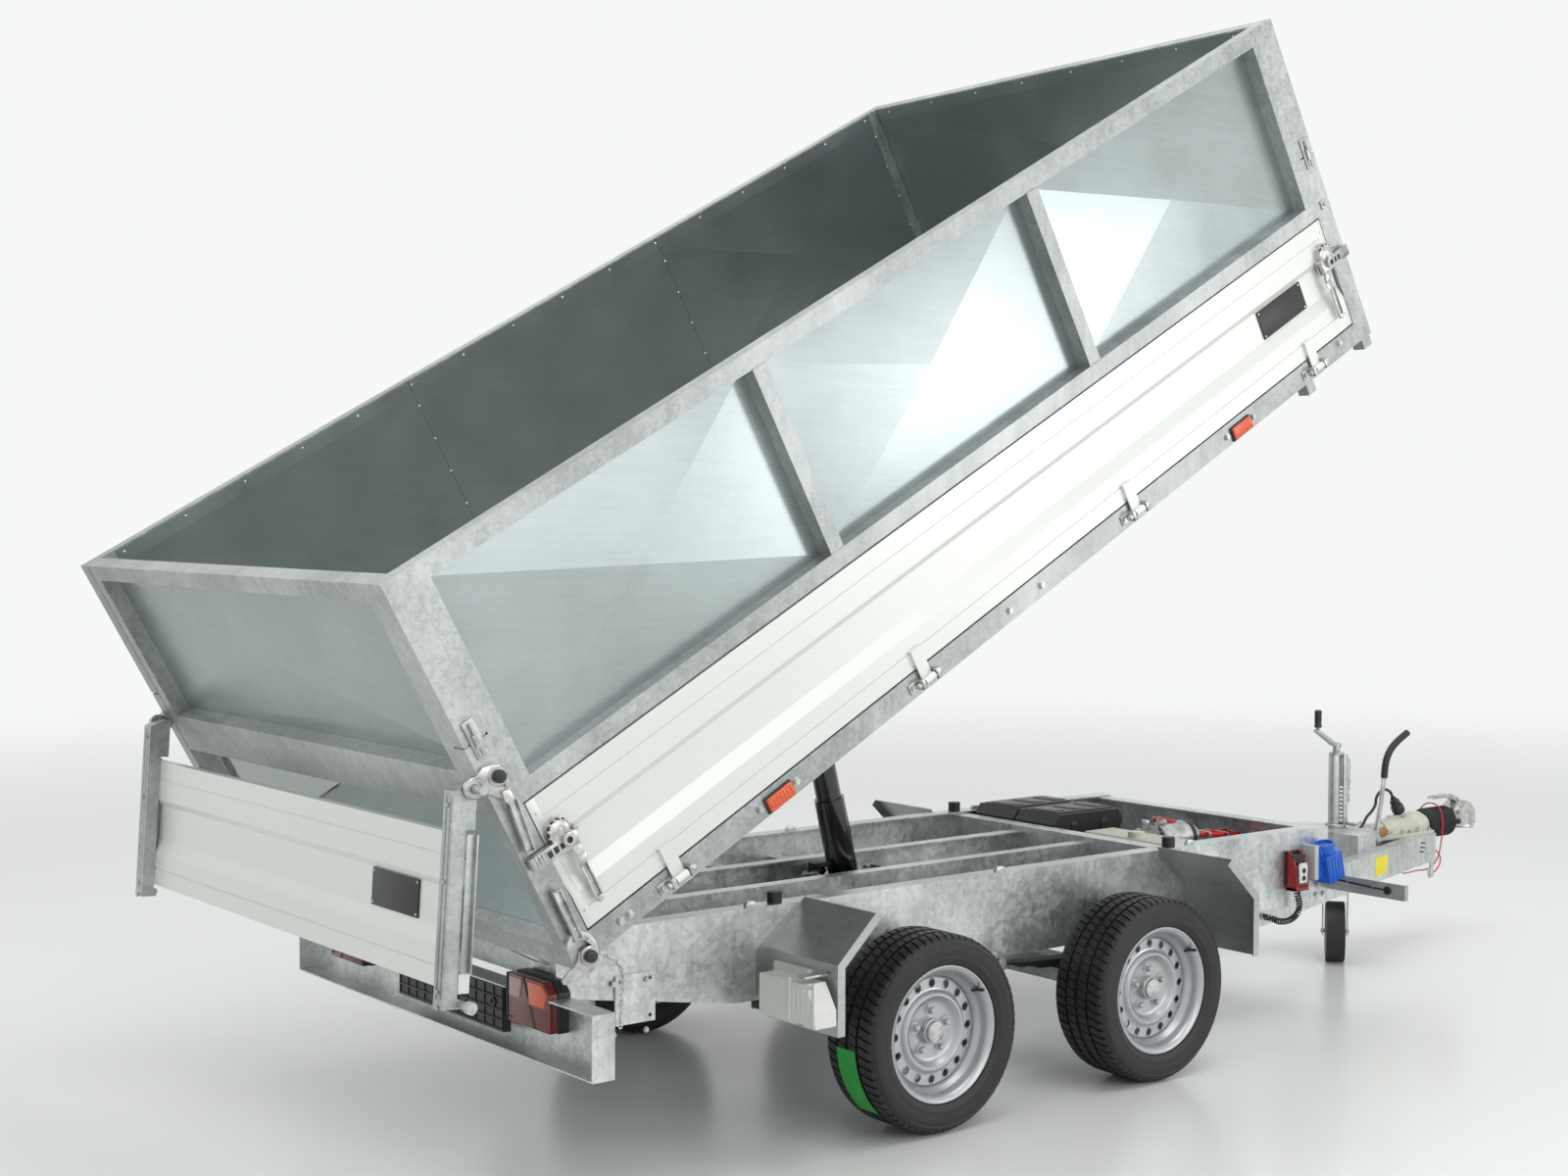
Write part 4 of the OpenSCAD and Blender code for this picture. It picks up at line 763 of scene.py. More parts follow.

# Hinge fittings along the floor frame, and the frame's own bolts; a black block between each hinge's knuckles is
# painted shade in the gap
hinge, slot_shade = Work(), Work()
for u in HINGES:
    hinge.block((u - 62, HALF_W, 15), (u + 34, HALF_W + 4, 41), 1.0)
    hinge.bolt((u - 50, HALF_W + 4, 28), (0, 1, 0), 9)
    hinge.block((u + 22, HALF_W + 2, 14), (u + 34, HALF_W + 26, 42), 1.6)
    hinge.block((u - 34, HALF_W + 2, 14), (u - 22, HALF_W + 26, 42), 1.6)
    hinge.turned([(0, 11), (6, 10), (8, 8), (8, 0)], (u - 34, HALF_W + 16, 28), (-1, 0, 0), 20)
    hinge.turned([(0, 11), (6, 10), (8, 8), (8, 0)], (u + 34, HALF_W + 16, 28), (1, 0, 0), 20)
    # Painted shade between the knuckles, drawn with the black plastic finish
    slot_shade.block((u - 20, HALF_W + 1, 17), (u + 20, HALF_W + 5.5, 39), 1.0)
for u in (149, 178, 602, 726, 1532, 1664, 2499, 2625):
    hinge.bolt((u, HALF_W, 28), (0, 1, 0), 9.5)
hinge.bolt((3075, HALF_W, 40), (0, 1, 0), 9.5)
hinge.mirrored().done("hinge_fittings", BED, plated, "bed", "zinc_fitting")
slot_shade.mirrored().done("hinge_painted_shade", BED, black_plastic, "bed", "black_plastic")

# Side markers with their black seats
seats, lens_amber = Work(), Work()
for u in (665, BED_L - 665):
    seats.block((u - 46, HALF_W + 0.2, 3), (u + 46, HALF_W + 6, 45), 2.5)
    lens_amber.block((u - 42, HALF_W + 4, 6), (u + 42, HALF_W + 13, 42), 3.5, steps=4)
    for k in range(7):
        lens_amber.block((u - 36 + k * 11, HALF_W + 12, 9), (u - 31 + k * 11, HALF_W + 13.8, 39), 0.9)
seats.mirrored().done("marker_seats", BED, black_plastic, "bed", "black_plastic")
lens_amber.mirrored().done("marker_lenses", BED, orange_lens, "bed", "amber_lens", ["side_markers"])

# Rivets of the sheet panels, along the top tubes, the middle posts and inside
rivet = Work()
dome = [(0, 2.2), (2.6, 1.6), (4.0, 0.4), (4.2, 0)]
inner = HALF_W - 44 - 2.3
for k in range(16):
    u = 110 + k * (BED_L - 220) / 15
    rivet.turned(dome, (u, inner, EXT_TOP - 18), (0, -1, 0), 12)
    rivet.turned(dome, (u, inner, 428), (0, -1, 0), 12)
for i in range(4):
    u = 88 + i * (BED_L - 176) / 3
    for k in range(5):
        rivet.turned(dome, (u, inner, 470 + k * 110), (0, -1, 0), 12)
rivet.mirrored()
for k in range(8):
    y = -760 + k * 1520 / 7
    rivet.turned(dome, (BED_L - 47.6, y, EXT_TOP - 18), (-1, 0, 0), 12)
    rivet.turned(dome, (47.6, y, EXT_TOP - 18), (1, 0, 0), 12)
rivet.done("panel_rivets", BED, plated, "bed", "zinc_fitting")

# Seams where the tubes meet, the posts' catches and their pins
catch = Work()
for u in (0, BED_L - POST):
    mid = u + POST / 2
    catch.block((mid - 16, HALF_W, 548), (mid + 16, HALF_W + 5, 640), 1.4)
    catch.block((mid - 9, HALF_W + 4, 574), (mid + 9, HALF_W + 13, 606), 2)
    catch.rod((mid, HALF_W + 10, 556), (mid, HALF_W + 10, 632), 4)
    catch.bolt((mid, HALF_W + 5, 622), (0, 1, 0), 6)
    catch.block((mid - 11, HALF_W, 420), (mid + 11, HALF_W + 6, 446), 1.6)
    catch.rod((mid, HALF_W + 4, 433), (mid, HALF_W + 14, 433), 5)
catch.mirrored().done("post_catches", BED, galvanised_bed, "bed", "galvanised")
bead = Work()
for u in (POST + 1, BED_L - POST - 1):
    for v in (432, EXT_TOP - 44):
        bead.sweep(curve([(u + 8 - 16 * (u > 999), HALF_W - 0.5, v + 2), (u + (34 if u < 999 else -34), HALF_W + 0.2, v - 2)], 6), 1.6, 6)
for i in (1, 2):
    u = 88.3 + i * (BED_L - 176.6) / 3
    for v in (450, EXT_TOP - 44):
        bead.sweep([(u - 22, HALF_W - 0.4, v), (u, HALF_W + 0.2, v + 0.6), (u + 22, HALF_W - 0.4, v)], 1.8, 6)
bead.mirrored().done("weld_beads", BED, galvanised_bed, "bed", "galvanised")


# ---------------------------------------------------------------- chassis
RAIL_Y, NOSE, FRONT, TRAY_Z, BOX_X = 510, 3136, 1915, 470, 1240

# Tail lamps: black housings behind the lenses
housing, red, clear, amber = Work(), Work(), Work(), Work()
housing.prism([(384, 385), (578, 385), (578, 482), (549, 509), (384, 509)], "x", -1064, -1028, 3, steps=3)
housing.block((-1090, 380.5, 388), (-1064, 386, 506), 1.5)
red.prism([(386, 387), (576, 387), (576, 480), (548, 507), (386, 507)], "x", -1088, -1063, 3.5, steps=3)
for k in range(9):
    red.block((-1089.4, 392, 391 + k * 6.2), (-1086, 568, 393.6 + k * 6.2), 0.8)
clear.prism([(394, 452), (440, 452), (452, 500), (394, 500)], "x", -1090.4, -1084, 2, steps=3)
amber.prism([(486, 444), (552, 444), (566, 480), (545, 500), (480, 500)], "x", -1090.4, -1084, 2, steps=3)
housing.prism([(454, 505), (462, 505), (518, 389), (508, 389)], "x", -1089.8, -1084, 0.8)
for y, z in ((398, 398), (564, 398)):
    red.rod((-1086, y, z), (-1090, y, z), 4)
housing.mirrored().done("lamp_housings", CHASSIS, black_plastic, "chassis", "black_plastic")
red.mirrored().done("lamp_lenses", CHASSIS, red_lens, "chassis", "red_lens", ["tail_lamps"])
clear.mirrored().done("lamp_clear_parts", CHASSIS, clear_lens, "chassis", "red_lens")
amber.mirrored().done("lamp_amber_parts", CHASSIS, orange_lens, "chassis", "amber_lens")

# Plate holder, ribbed and bare
holder = Work()
for z in (354, 378, 402, 432, 460):
    holder.block((-1082, -348, z - 2), (-1077, 188, z + 2), 1.0)
for k in range(13):
    holder.block((-1081, -346 + k * 44, 350), (-1077, -341 + k * 44, 464), 1.0)
for y in (-300, -20, 150):
    holder.turned([(7, 5), (12, 5), (13, 3), (13, 0), (7, 0)], (-1078, y, 417), (-1, 0, 0), 20, ring=True)
holder.done("plate_holder_ribs", CHASSIS, black_plastic, "chassis", "black_plastic")

# Bolts of the rear beam's brackets, the rails and the guards, a piece for each side
for side, way in (("left", 1), ("right", -1)):
    bolts = Work()
    for x, z in ((-866, 468), (-866, 342), (-770, 468), (-770, 342)):
        bolts.bolt((x, way * (RAIL_Y + 6), z), (0, way, 0), 7)
    for x in (-372, 428, 1222):
        for z in (344, 372):
            bolts.bolt((x, way * (RAIL_Y + 1), z), (0, way, 0), 9)
    for x in (-300, -240, 1180, 1240):
        bolts.bolt((x, way * RAIL_Y, 560), (0, way, 0), 7)
    for x, z in ((FRONT - 60, 388), (FRONT - 24, 388), (FRONT - 60, 420), (FRONT - 24, 420)):
        bolts.bolt((x, way * RAIL_Y, z), (0, way, 0), 8)
    bolts.done(f"frame_bolts_{side}", CHASSIS, plated, "chassis", "zinc_fitting")

# Weld beads where the bars meet the rails, and lifting lugs on the rails' tops
welds = Work()
for x in (140, 190, 400, 450):
    for z in (476, 524):
        welds.rod((x, RAIL_Y - 6, z), (x, RAIL_Y - 2, z), 4)
for x in (-420, 470, 1275):
    welds.prism([(x - 20, 606), (x - 12, 618), (x + 12, 618), (x + 20, 606)], "y", RAIL_Y - 34, RAIL_Y - 22, 1)
welds.mirrored().done("rail_lugs", CHASSIS, galvanised, "chassis", "galvanised")

# Spring clamps at each axle: bolts bent over the springs and the plates under them
clamps, straps = Work(), Work()
for x in (0, AXLE_GAP):
    for dx in (-34, 34):
        clamps.sweep(curve([(x + dx, 447, 270), (x + dx, 447, 372), (x + dx, 452, 382), (x + dx, 475, 386),
                            (x + dx, 498, 382), (x + dx, 503, 372), (x + dx, 503, 270)], 4), 5.5, 10)
        for y in (447, 503):
            clamps.bolt((x + dx, y, 288), (0, 0, -1), 9, nut=True)
    straps.block((x - 50, 440, 288), (x + 50, 510, 296), 1.6)
clamps.mirrored().done("spring_bolts", CHASSIS, plated, "chassis", "zinc_fitting")
straps.mirrored().done("spring_straps", CHASSIS, black_frame, "chassis", "black_paint")

# Clamps on the cylinder's cradle, with their nuts
cradle = Work()
for s in (-1, 1):
    cradle.block((295 + s * 118 - 18, -50, 537), (295 + s * 118 + 18, 50, 549), 2)
    cradle.prism([(295 + s * 100, 537), (295 + s * 142, 537), (295 + s * 136, 562), (295 + s * 112, 566)],
                 "y", -12, 12, 2)
cradle.done("cradle_clamps", CHASSIS, black_frame, "chassis", "black_paint")
nuts = Work()
for s in (-1, 1):
    for y in (-38, 38):
        nuts.bolt((295 + s * 118, y, 549), (0, 0, 1), 11, nut=True)
nuts.done("cradle_bolts", CHASSIS, plated, "chassis", "zinc_fitting")

# Battery lids: flutes, ends, grips and screws
lids = Work()
for y in (62, 256):
    for k in range(9):
        lids.prism([(BOX_X + 1, TRAY_Z + 112), (BOX_X + 25, TRAY_Z + 162), (BOX_X + 27, TRAY_Z + 165.5), (BOX_X + 3, TRAY_Z + 131),
                    (BOX_X - 2.4, TRAY_Z + 131), (BOX_X - 2.4, TRAY_Z + 112)], "y", y + 16 + k * 18, y + 22 + k * 18, 0.7)
    lids.prism([(BOX_X + 24, TRAY_Z + 161), (BOX_X + 296, TRAY_Z + 161), (BOX_X + 290, TRAY_Z + 167), (BOX_X + 30, TRAY_Z + 167)],
               "y", y + 20, y + 166, 2.4, steps=3)
    for x in (BOX_X + 60, BOX_X + 160, BOX_X + 260):
        lids.block((x - 26, y + 40, TRAY_Z + 166), (x + 26, y + 146, TRAY_Z + 169.5), 1.8)
    for x in (BOX_X + 90, BOX_X + 230):
        lids.block((x - 14, y - 3, TRAY_Z + 100), (x + 14, y + 2, TRAY_Z + 136), 1.4)
lids.done("battery_lid_flutes", CHASSIS, black_plastic, "chassis", "black_plastic")

# Pump motor: end caps, through bolts, terminals, a lifting valve and its elbows
motor, seals = Work(), Work()
for x in (202, 352):
    seals.turned([(53, 0), (55.4, 0), (56, 2), (56, 14), (55.4, 16), (53, 16)], (BOX_X + x, -170, TRAY_Z + 90), (1, 0, 0), ring=True)
for k in range(4):
    turn = math.radians(45 + 90 * k)
    y, z = -170 + 44 * math.cos(turn), TRAY_Z + 90 + 44 * math.sin(turn)
    motor.bolt((BOX_X + 369, y, z), (1, 0, 0), 6)
motor.turned([(0, 12), (14, 11), (18, 6), (18, 0)], (BOX_X + 399, -170, TRAY_Z + 90), (1, 0, 0), 32)
for y in (-186, -156):
    motor.rod((BOX_X + 250, y, TRAY_Z + 140), (BOX_X + 250, y, TRAY_Z + 158), 4)
    motor.bolt((BOX_X + 250, y, TRAY_Z + 150), (0, 0, 1), 6)
motor.turned([(0, 30), (12, 30), (13, 28), (13, 12), (17, 12), (17, 0)], (BOX_X + 200, -150, TRAY_Z + 125), (0, 0, 1), 6)
motor.sweep(curve([(BOX_X + 205, -196, TRAY_Z + 124), (BOX_X + 205, -196, TRAY_Z + 142), (BOX_X + 212, -204, TRAY_Z + 152),
                   (BOX_X + 226, -218, TRAY_Z + 154)], 4), 8, 12)
motor.done("pump_fittings", CHASSIS, plated, "chassis", "zinc_fitting")
seals.done("pump_bands", CHASSIS, black_plastic, "chassis", "black_plastic")
leads = Work()
for k, (y, sag) in enumerate(((-150, 22), (-128, 14), (-176, 18), (-106, 26))):
    path = [(BOX_X + 250 + k, -156 + k * 4, TRAY_Z + 154 - k), (BOX_X + 300, y, TRAY_Z + 150 - sag * 0.3),
            (BOX_X + 400, y + 6, TRAY_Z + 118 - sag), (BOX_X + 470, y + 4, TRAY_Z + 104 - sag),
            (BOX_X + 560, y, TRAY_Z + 96 - sag), (FRONT - 34, y, TRAY_Z + 92 - sag)]
    leads.sweep(curve(path, 5), 7.5, 12)
clips = Work()
for x, top in ((BOX_X + 470, 97), (BOX_X + 560, 88), (FRONT - 50, 84)):
    clips.block((x - 5, -190, TRAY_Z + top - 4), (x + 5, -92, TRAY_Z + top), 1.2)
    for y in (-193, -92):
        clips.block((x - 5, y, TRAY_Z + 46), (x + 5, y + 3, TRAY_Z + top), 1)
clips.done("pump_cable_clips", CHASSIS, plated, "chassis", "zinc_fitting")
leads.done("pump_cables", CHASSIS, red_cable, "chassis", "red_plastic")

# Inlet: ribs, lid and its hinge
inlet = Work()
turn = Matrix.Translation((FRONT - 51, -RAIL_Y - 36, 498)) @ Matrix.Rotation(math.radians(-14), 4, "Y")
for k in range(5):
    inlet.block((-36 + k * 16, -38, -52), (-31 + k * 16, -34, 26), 1.2, turn)
inlet.block((-44, -38, 20), (38, 36, 33), 3, turn, 3)
ring = Work().turned([(28, 24), (36, 24), (37.5, 26), (37.5, 34), (36, 36), (28, 36)], ring=True)
inlet.add(ring.shape, turn @ Matrix.Translation((-3, -1, 30)))
inlet.block((-46, -20, 34), (-36, 18, 62), 2, turn)
inlet.done("inlet_cover", CHASSIS, blue_plastic, "chassis", "blue_plastic")
back = Work().block((FRONT - 132, -RAIL_Y - 53, 448), (FRONT - 112, -RAIL_Y - 1, 560), 3, steps=3)
back.done("inlet_back", CHASSIS, grey_plastic, "chassis", "cream_plastic")

# Hand control: a red and black holder with a grey handset
X0 = FRONT - 221
holder = Work()
holder.block((X0 + 4, -RAIL_Y - 48, 420), (X0 + 66, -RAIL_Y - 5, 432), 2)
for x in (X0 + 4, X0 + 58):
    holder.prism([(-RAIL_Y - 48, 420), (-RAIL_Y - 5, 420), (-RAIL_Y - 5, 546), (-RAIL_Y - 18, 546), (-RAIL_Y - 44, 500)],
                 "x", x, x + 8, 1.4)
for k in range(4):
    holder.block((X0 + 12, -RAIL_Y - 50, 440 + k * 14), (X0 + 58, -RAIL_Y - 44, 445 + k * 14), 1.2)
holder.done("control_holder", CHASSIS, red_plastic, "chassis", "red_plastic")
hand = Work()
hand.prism([(X0 + 16, 446), (X0 + 54, 446), (X0 + 56, 500), (X0 + 50, 510), (X0 + 20, 510), (X0 + 14, 500)],
           "y", -RAIL_Y - 52, -RAIL_Y - 43, 3, steps=3)
hand.done("handset_face", CHASSIS, pale_label, "chassis", "white_plastic")
keys = Work()
for z in (462, 486):
    keys.turned([(0, 3), (7, 2.6), (8.5, 0)], (X0 + 35, -RAIL_Y - 52, z), (0, -1, 0), 20)
keys.done("handset_keys", CHASSIS, black_rubber, "chassis", "black_rubber")

# Chocks: a raised rim, a web and a grip on each
chock = Work()
for x, z in ((-462, 372), (-462, 452)):
    chock.block((x - 5, 704, z - 5), (x + 4, 806, z + 5), 2)
chock.block((-471, 700, 360), (-464, 712, 466), 2)
chock.block((-471, 800, 360), (-464, 811, 466), 2)
for k in range(4):
    chock.block((-470, 722 + k * 20, 380), (-465, 726 + k * 20, 446), 1.2)
chock.mirrored().done("chock_ribs", CHASSIS, white_plastic, "chassis", "cream_plastic")
clips = Work()
for z in (350, 470):
    clips.block((-470, 740, z), (-392, 770, z + 6), 1.4)
clips.mirrored().done("chock_clips", CHASSIS, plated, "chassis", "zinc_fitting")

# Label on the drawbar's arm, bare
at = Vector((NOSE, -56.6, 0)) + Vector((-0.9613, -0.2756, 0)) * 545
label = Work().block((-60, -0.8, 0), (60, 0.8, 66), 0.3,
                     Matrix.Translation((at.x, at.y, 332)) @ Matrix.Rotation(math.radians(16), 4, "Z"))


label.done("arm_label", CHASSIS, yellow_label, "chassis", "galvanised")
# Black strips in the arm's three slots: painted shade inside the openings
slot_shade = Work()
for k, t in enumerate((118, 126, 134)):
    at = Vector((NOSE, -56.3, 0)) + Vector((-0.9613, -0.2756, 0)) * t
    slot_shade.block((-22, -0.9, 0), (22, 0.9, 6), 0.6,
                Matrix.Translation((at.x, at.y, 388 - 15 * k)) @ Matrix.Rotation(math.radians(16), 4, "Z")
                @ Matrix.Rotation(math.radians(8), 4, "Y"))
slot_shade.done("arm_slots", CHASSIS, black_plastic, "chassis", "black_plastic")

# ---------------------------------------------------------------- drawbar and coupling
SHAFT_Z, PLATE_Z, JOCKEY_X = 444, 428, NOSE - 520
shaft = lambda x: (x, 0, SHAFT_Z)

# Overrun housing: sleeve, ribs, lips and screws over the cast body
cast = Work()
cast.turned([(41, 0), (43.4, 3), (43.4, 10), (41, 13)], shaft(2938), (1, 0, 0), ring=True)
cast.turned([(41, 0), (44, 4), (48, 16), (52.6, 24), (52.6, 30), (41, 30)], shaft(3046), (1, 0, 0), ring=True)
for x in (2960, 2990, 3020):
    cast.turned([(41, 0), (43, 1.5), (43, 5.5), (41, 7)], shaft(x), (1, 0, 0), ring=True)
for y in (-40, 40):
    cast.prism([(2880, 428), (3074, 428), (3074, 462), (3050, 462), (2944, 448), (2900, 436)], "y", y - 4, y + 4, 2.4)
cast.block((2930, -13, 484), (3040, 13, 490.5), 4, steps=3)
cast.done("housing_ribs", CHASSIS, ivory_cast, "chassis", "cast_housing")
sleeve, ring = Work(), Work()
sleeve.turned([(27.5, 0), (30.5, 0), (31, 1.5), (31, 96), (30, 98), (27.5, 98)], shaft(2696), (1, 0, 0), ring=True)
for x, y in ((2732, 44), (2846, 44), (3000, 50), (3114, 48)):
    for s in (-1, 1):
        sleeve.bolt((x, s * y, PLATE_Z), (0, 0, 1), 9, nut=True)
sleeve.rod((2990, -22, 484), (2996, -30, 500), 4)
sleeve.bolt((NOSE - 382, -74, 425), (0, -1, 0), 11, nut=True)
sleeve.done("housing_fittings", CHASSIS, plated, "chassis", "zinc_fitting")
tawny = plain("tawny_zinc", (0.36, 0.22, 0.08), 0.4, 0.6, 0.4, 300, 0.1, 60)
ring.turned([(20, 0), (27, 0), (28.5, 2), (28.5, 10), (27, 12), (20, 12)], (NOSE - 382, -57, 425), (0, -1, 0), ring=True)
ring.prism([(2770, 432), (2830, 432), (2846, 452), (2820, 470), (2784, 462)], "y", -66, -58, 2)
ring.done("brake_lever_ring", CHASSIS, tawny, "chassis", "zinc_fitting")

# Handbrake: a flat plated bar on its boss, with a ribbed grip
lever, grip = Work(), Work()
lever.turned([(0, 8), (22, 8), (25, 5), (25, -5), (22, -8), (0, -8)], (2756, -72, 425), (0, -1, 0), 40)
lever.prism([(2741, 430), (2767, 420), (2818, 680), (2796, 684), (2777, 560), (2764, 500)], "y", -76, -68, 1.6)
lever.prism([(2748, 440), (2766, 436), (2782, 540), (2774, 548)], "y", -79, -65, 2)
lever.done("handbrake_bar", CHASSIS, plated, "chassis", "zinc_fitting", ["handbrake_lever"])
line = curve([(2803, -72, 650), (2808, -72, 690), (2818, -72, 722), (2842, -72, 754), (2880, -72, 780), (2938, -72, 808)], 6)
grip.sweep(line, 12.4, 20, tip=12.4)
for i in range(3, len(line) - 3, 2):
    way = (line[i + 1] - line[i - 1]).normalized()
    grip.turned([(12, -2), (13.1, -1.2), (13.1, 1.2), (12, 2)], line[i], way, 24, ring=True)
grip.turned([(0, 5), (8, 4), (12.4, -1)], line[-1], line[-1] - line[-2], 24)
grip.done("handbrake_grip", CHASSIS, black_rubber, "chassis", "black_rubber")

# Coupling head: plates, studs, a lip round the cup, a safety knob and painted shade in the handle's hollow
head, knob = Work(), Work()
for s in (-1, 1):
    head.prism([(3296, 424), (3352, 430), (3420, 436), (3424, 462), (3396, 492), (3350, 512), (3300, 486)], "y",
               s * 31 - 1.5, s * 31 + 1.5, 1.2)
    head.prism([(3186, 534), (3196, 544), (3296, 546), (3350, 528), (3350, 520), (3294, 538), (3200, 536)], "y",
               s * 12.6 - 2.4, s * 12.6 + 2.4, 1)
    for x, z in ((3318, 478), (3318, 446), (3168, 462), (3168, 426)):
        head.bolt((x, s * 32, z) if x > 3200 else (x, s * 26, z), (0, s, 0), 10, nut=True)
head.turned([(38, 0), (42.8, 0), (43.4, 3), (43.4, 9), (42, 12), (38, 12)], (3392, 0, 410), (0, 0, 1), ring=True)
head.rod((3336, -36, 500), (3336, 36, 500), 7)
head.turned([(24, 0), (30, 0), (31, 3), (31, 16), (30, 19), (24, 19)], shaft(3288), (1, 0, 0), ring=True)
head.done("coupling_fittings", CHASSIS, plated, "chassis", "zinc_fitting")
knob.turned([(0, 16), (7, 15.4), (10.6, 12), (11, 4), (8, 0), (0, 0)], (3314, -31, 441), (0, -1, 0), 28)
# Painted shade: a black block in the handle's hollow
knob.block((3330, -6, 520), (3352, 6, 530), 2)
knob.done("coupling_knob_and_hollow_shade", CHASSIS, black_plastic, "chassis", "black_plastic")
folds = Work()
for k in range(8):
    folds.turned([(50, 0), (56.4, 4), (57, 6), (56.4, 8), (50, 12)], shaft(3142 + k * 18), (1, 0, 0), 48, ring=True)
folds.done("bellows_folds", CHASSIS, black_rubber, "chassis", "black_rubber")

# Jockey stand: round inner tube, square outer one with a ladder, clamp, crank and grip
tube, square = Work(), Work()
tube.rod((JOCKEY_X - 10, 0, 256), (JOCKEY_X - 10, 0, 744), 20.5, bevel=1, sides=40)
tube.rod((JOCKEY_X, 0, 256), (JOCKEY_X, 0, 478), 30, bevel=1.5, sides=48)
tube.turned([(29, 0), (37, 0), (38, 2), (38, 10), (36, 12), (29, 12)], (JOCKEY_X, 0, 479.5), (0, 0, 1), ring=True)
tube.rod((JOCKEY_X + 2, 0, 742), (JOCKEY_X + 2, 0, 752), 26, bevel=2)
tube.rod((JOCKEY_X, 0, 750), (JOCKEY_X, 0, 786), 13, bevel=1)
tube.prism([(JOCKEY_X + 16, 768), (JOCKEY_X + 16, 784), (JOCKEY_X - 20, 791), (JOCKEY_X - 112, 843), (JOCKEY_X - 121, 834),
            (JOCKEY_X - 24, 777)], "y", -11, 11, 1.6)
for k in range(3):
    tube.rod((JOCKEY_X - 50 - k * 18, -12, 803 + k * 10), (JOCKEY_X - 50 - k * 18, -10, 803 + k * 10), 3)
tube.rod((JOCKEY_X - 106, 0, 836), (JOCKEY_X - 106, 0, 852), 7)
tube.rod((JOCKEY_X + 30, -26, 492), (JOCKEY_X + 30, -70, 492), 6)
tube.rod((JOCKEY_X + 30, -66, 492), (JOCKEY_X + 58, -72, 500), 5)
tube.done("jockey_tubes", CHASSIS, galvanised_bed, "chassis", "galvanised", ["jockey_tube"])
for s in (-1, 1):
    square.block((JOCKEY_X + 8, s * 27 - 3, 491), (JOCKEY_X + 31, s * 27 + 3, 744), 1.4)
square.block((JOCKEY_X + 8, -28, 628), (JOCKEY_X + 11, 28, 744), 0.8)
for k in range(9):
    square.block((JOCKEY_X + 8, -28, 493 + k * 15), (JOCKEY_X + 12, 28, 499 + k * 15), 1)
    square.block((JOCKEY_X + 27, -28, 493 + k * 15), (JOCKEY_X + 31, 28, 499 + k * 15), 1)
square.block((JOCKEY_X + 27, -28, 628), (JOCKEY_X + 31, 28, 744), 0.8)
square.done("jockey_ladder", CHASSIS, galvanised, "chassis", "galvanised")
handle = Work().turned([(0, 64), (9, 63), (13.4, 58), (12.4, 46), (13, 30), (12, 14), (14, 3), (12, 0), (7, 0)],
                       (JOCKEY_X - 106, 0, 848), (0, 0, 1), 32)
handle.done("crank_grip", CHASSIS, black_plastic, "chassis", "black_plastic")


def chained(work, route, side, wire, long, wide):
    line = curve(route, 2)
    for i in range(len(line) - 1):
        ahead = (line[i + 1] - line[i]).normalized()
        flat = ahead.cross(Vector(side)) if i % 2 else Vector(side)
        middle = (line[i] + line[i + 1]) / 2
        work.sweep([middle + ahead * long * math.cos(k * math.tau / 14) + flat * wide * math.sin(k * math.tau / 14)
                    for k in range(15)], wire, 6)


pin_chain = Work()
chained(pin_chain, [(JOCKEY_X + 34, -12, 738), (JOCKEY_X + 50, -16, 728), (JOCKEY_X + 58, -16, 706),
                    (JOCKEY_X + 58, -15, 680), (JOCKEY_X + 57, -15, 654), (JOCKEY_X + 58, -14, 630),
                    (JOCKEY_X + 57, -14, 606)], (0, 1, 0), 1.3, 7.6, 4)
pin_chain.rod((JOCKEY_X + 57, -15, 600), (JOCKEY_X + 57, -15, 566), 3.4)
pin_chain.rod((JOCKEY_X + 24, -12, 740), (JOCKEY_X + 38, -12, 740), 3)
pin_chain.done("jockey_pin", CHASSIS, plated, "chassis", "zinc_fitting")

# ---------------------------------------------------------------- cords
def lay_cord(name, line, diameter, look, slot, stands_for, **facts):
    piece = Work().sweep(line, diameter / 2, 12).done(name, CHASSIS, look, "chassis", slot, stands_for, 60)
    path = [CHASSIS @ p for p in line]
    length = sum((b - a).length for a, b in zip(path, path[1:]))
    return piece


def placed(route, x, steps):
    return [p + Vector((x, 0, 0)) for p in curve(route, steps)]


LEAD = [(-466, -30, 462), (-436, -30, 462), (-396, -24, 474), (-351, -10, 500), (-306, 0, 518), (-280, 4, 540),
        (-276, 4, 562), (-260, 2, 582), (-230, 0, 592), (-198, 0, 580), (-182, 0, 558)]
BREAKAWAY = [(-256, -100, 310.5), (-256, -100, 300), (-230, -88, 290), (-166, -66, 284), (-96, -50, 282), (-36, -44, 278),
             (4, -48, 290), (20, -62, 330), (28, -70, 400), (34, -68, 450), (44, -52, 496), (56, -20, 514), (62, 20, 514),
             (68, 54, 490), (74, 68, 444), (80, 60, 390), (86, 20, 350), (84, -20, 320), (54, -44, 292), (14, -49, 266),
             (-14, -49, 262)]
CURLY = [(-187, -538, 423.5), (-187, -538, 404), (-179, -540, 372), (-189, -538, 344), (-219, -534, 328),
         (-255, -528, 326), (-279, -521, 334), (-290, -509, 340), (-295, -491.5, 340)]
plug, face = Work(), Work()
lean = math.radians(36)
end, way = Vector(LEAD[-1]) + Vector((NOSE, 0, 0)), Vector((math.sin(lean), 0, -math.cos(lean)))
plug.turned([(0, 0.4), (9, 0.4), (11, 3), (11, 12), (14, 14), (17, 17), (17, 38), (20, 40), (23, 42), (23, 68), (21, 70.6),
             (17, 70.6), (17, 60), (0, 60)], end, way, 40)
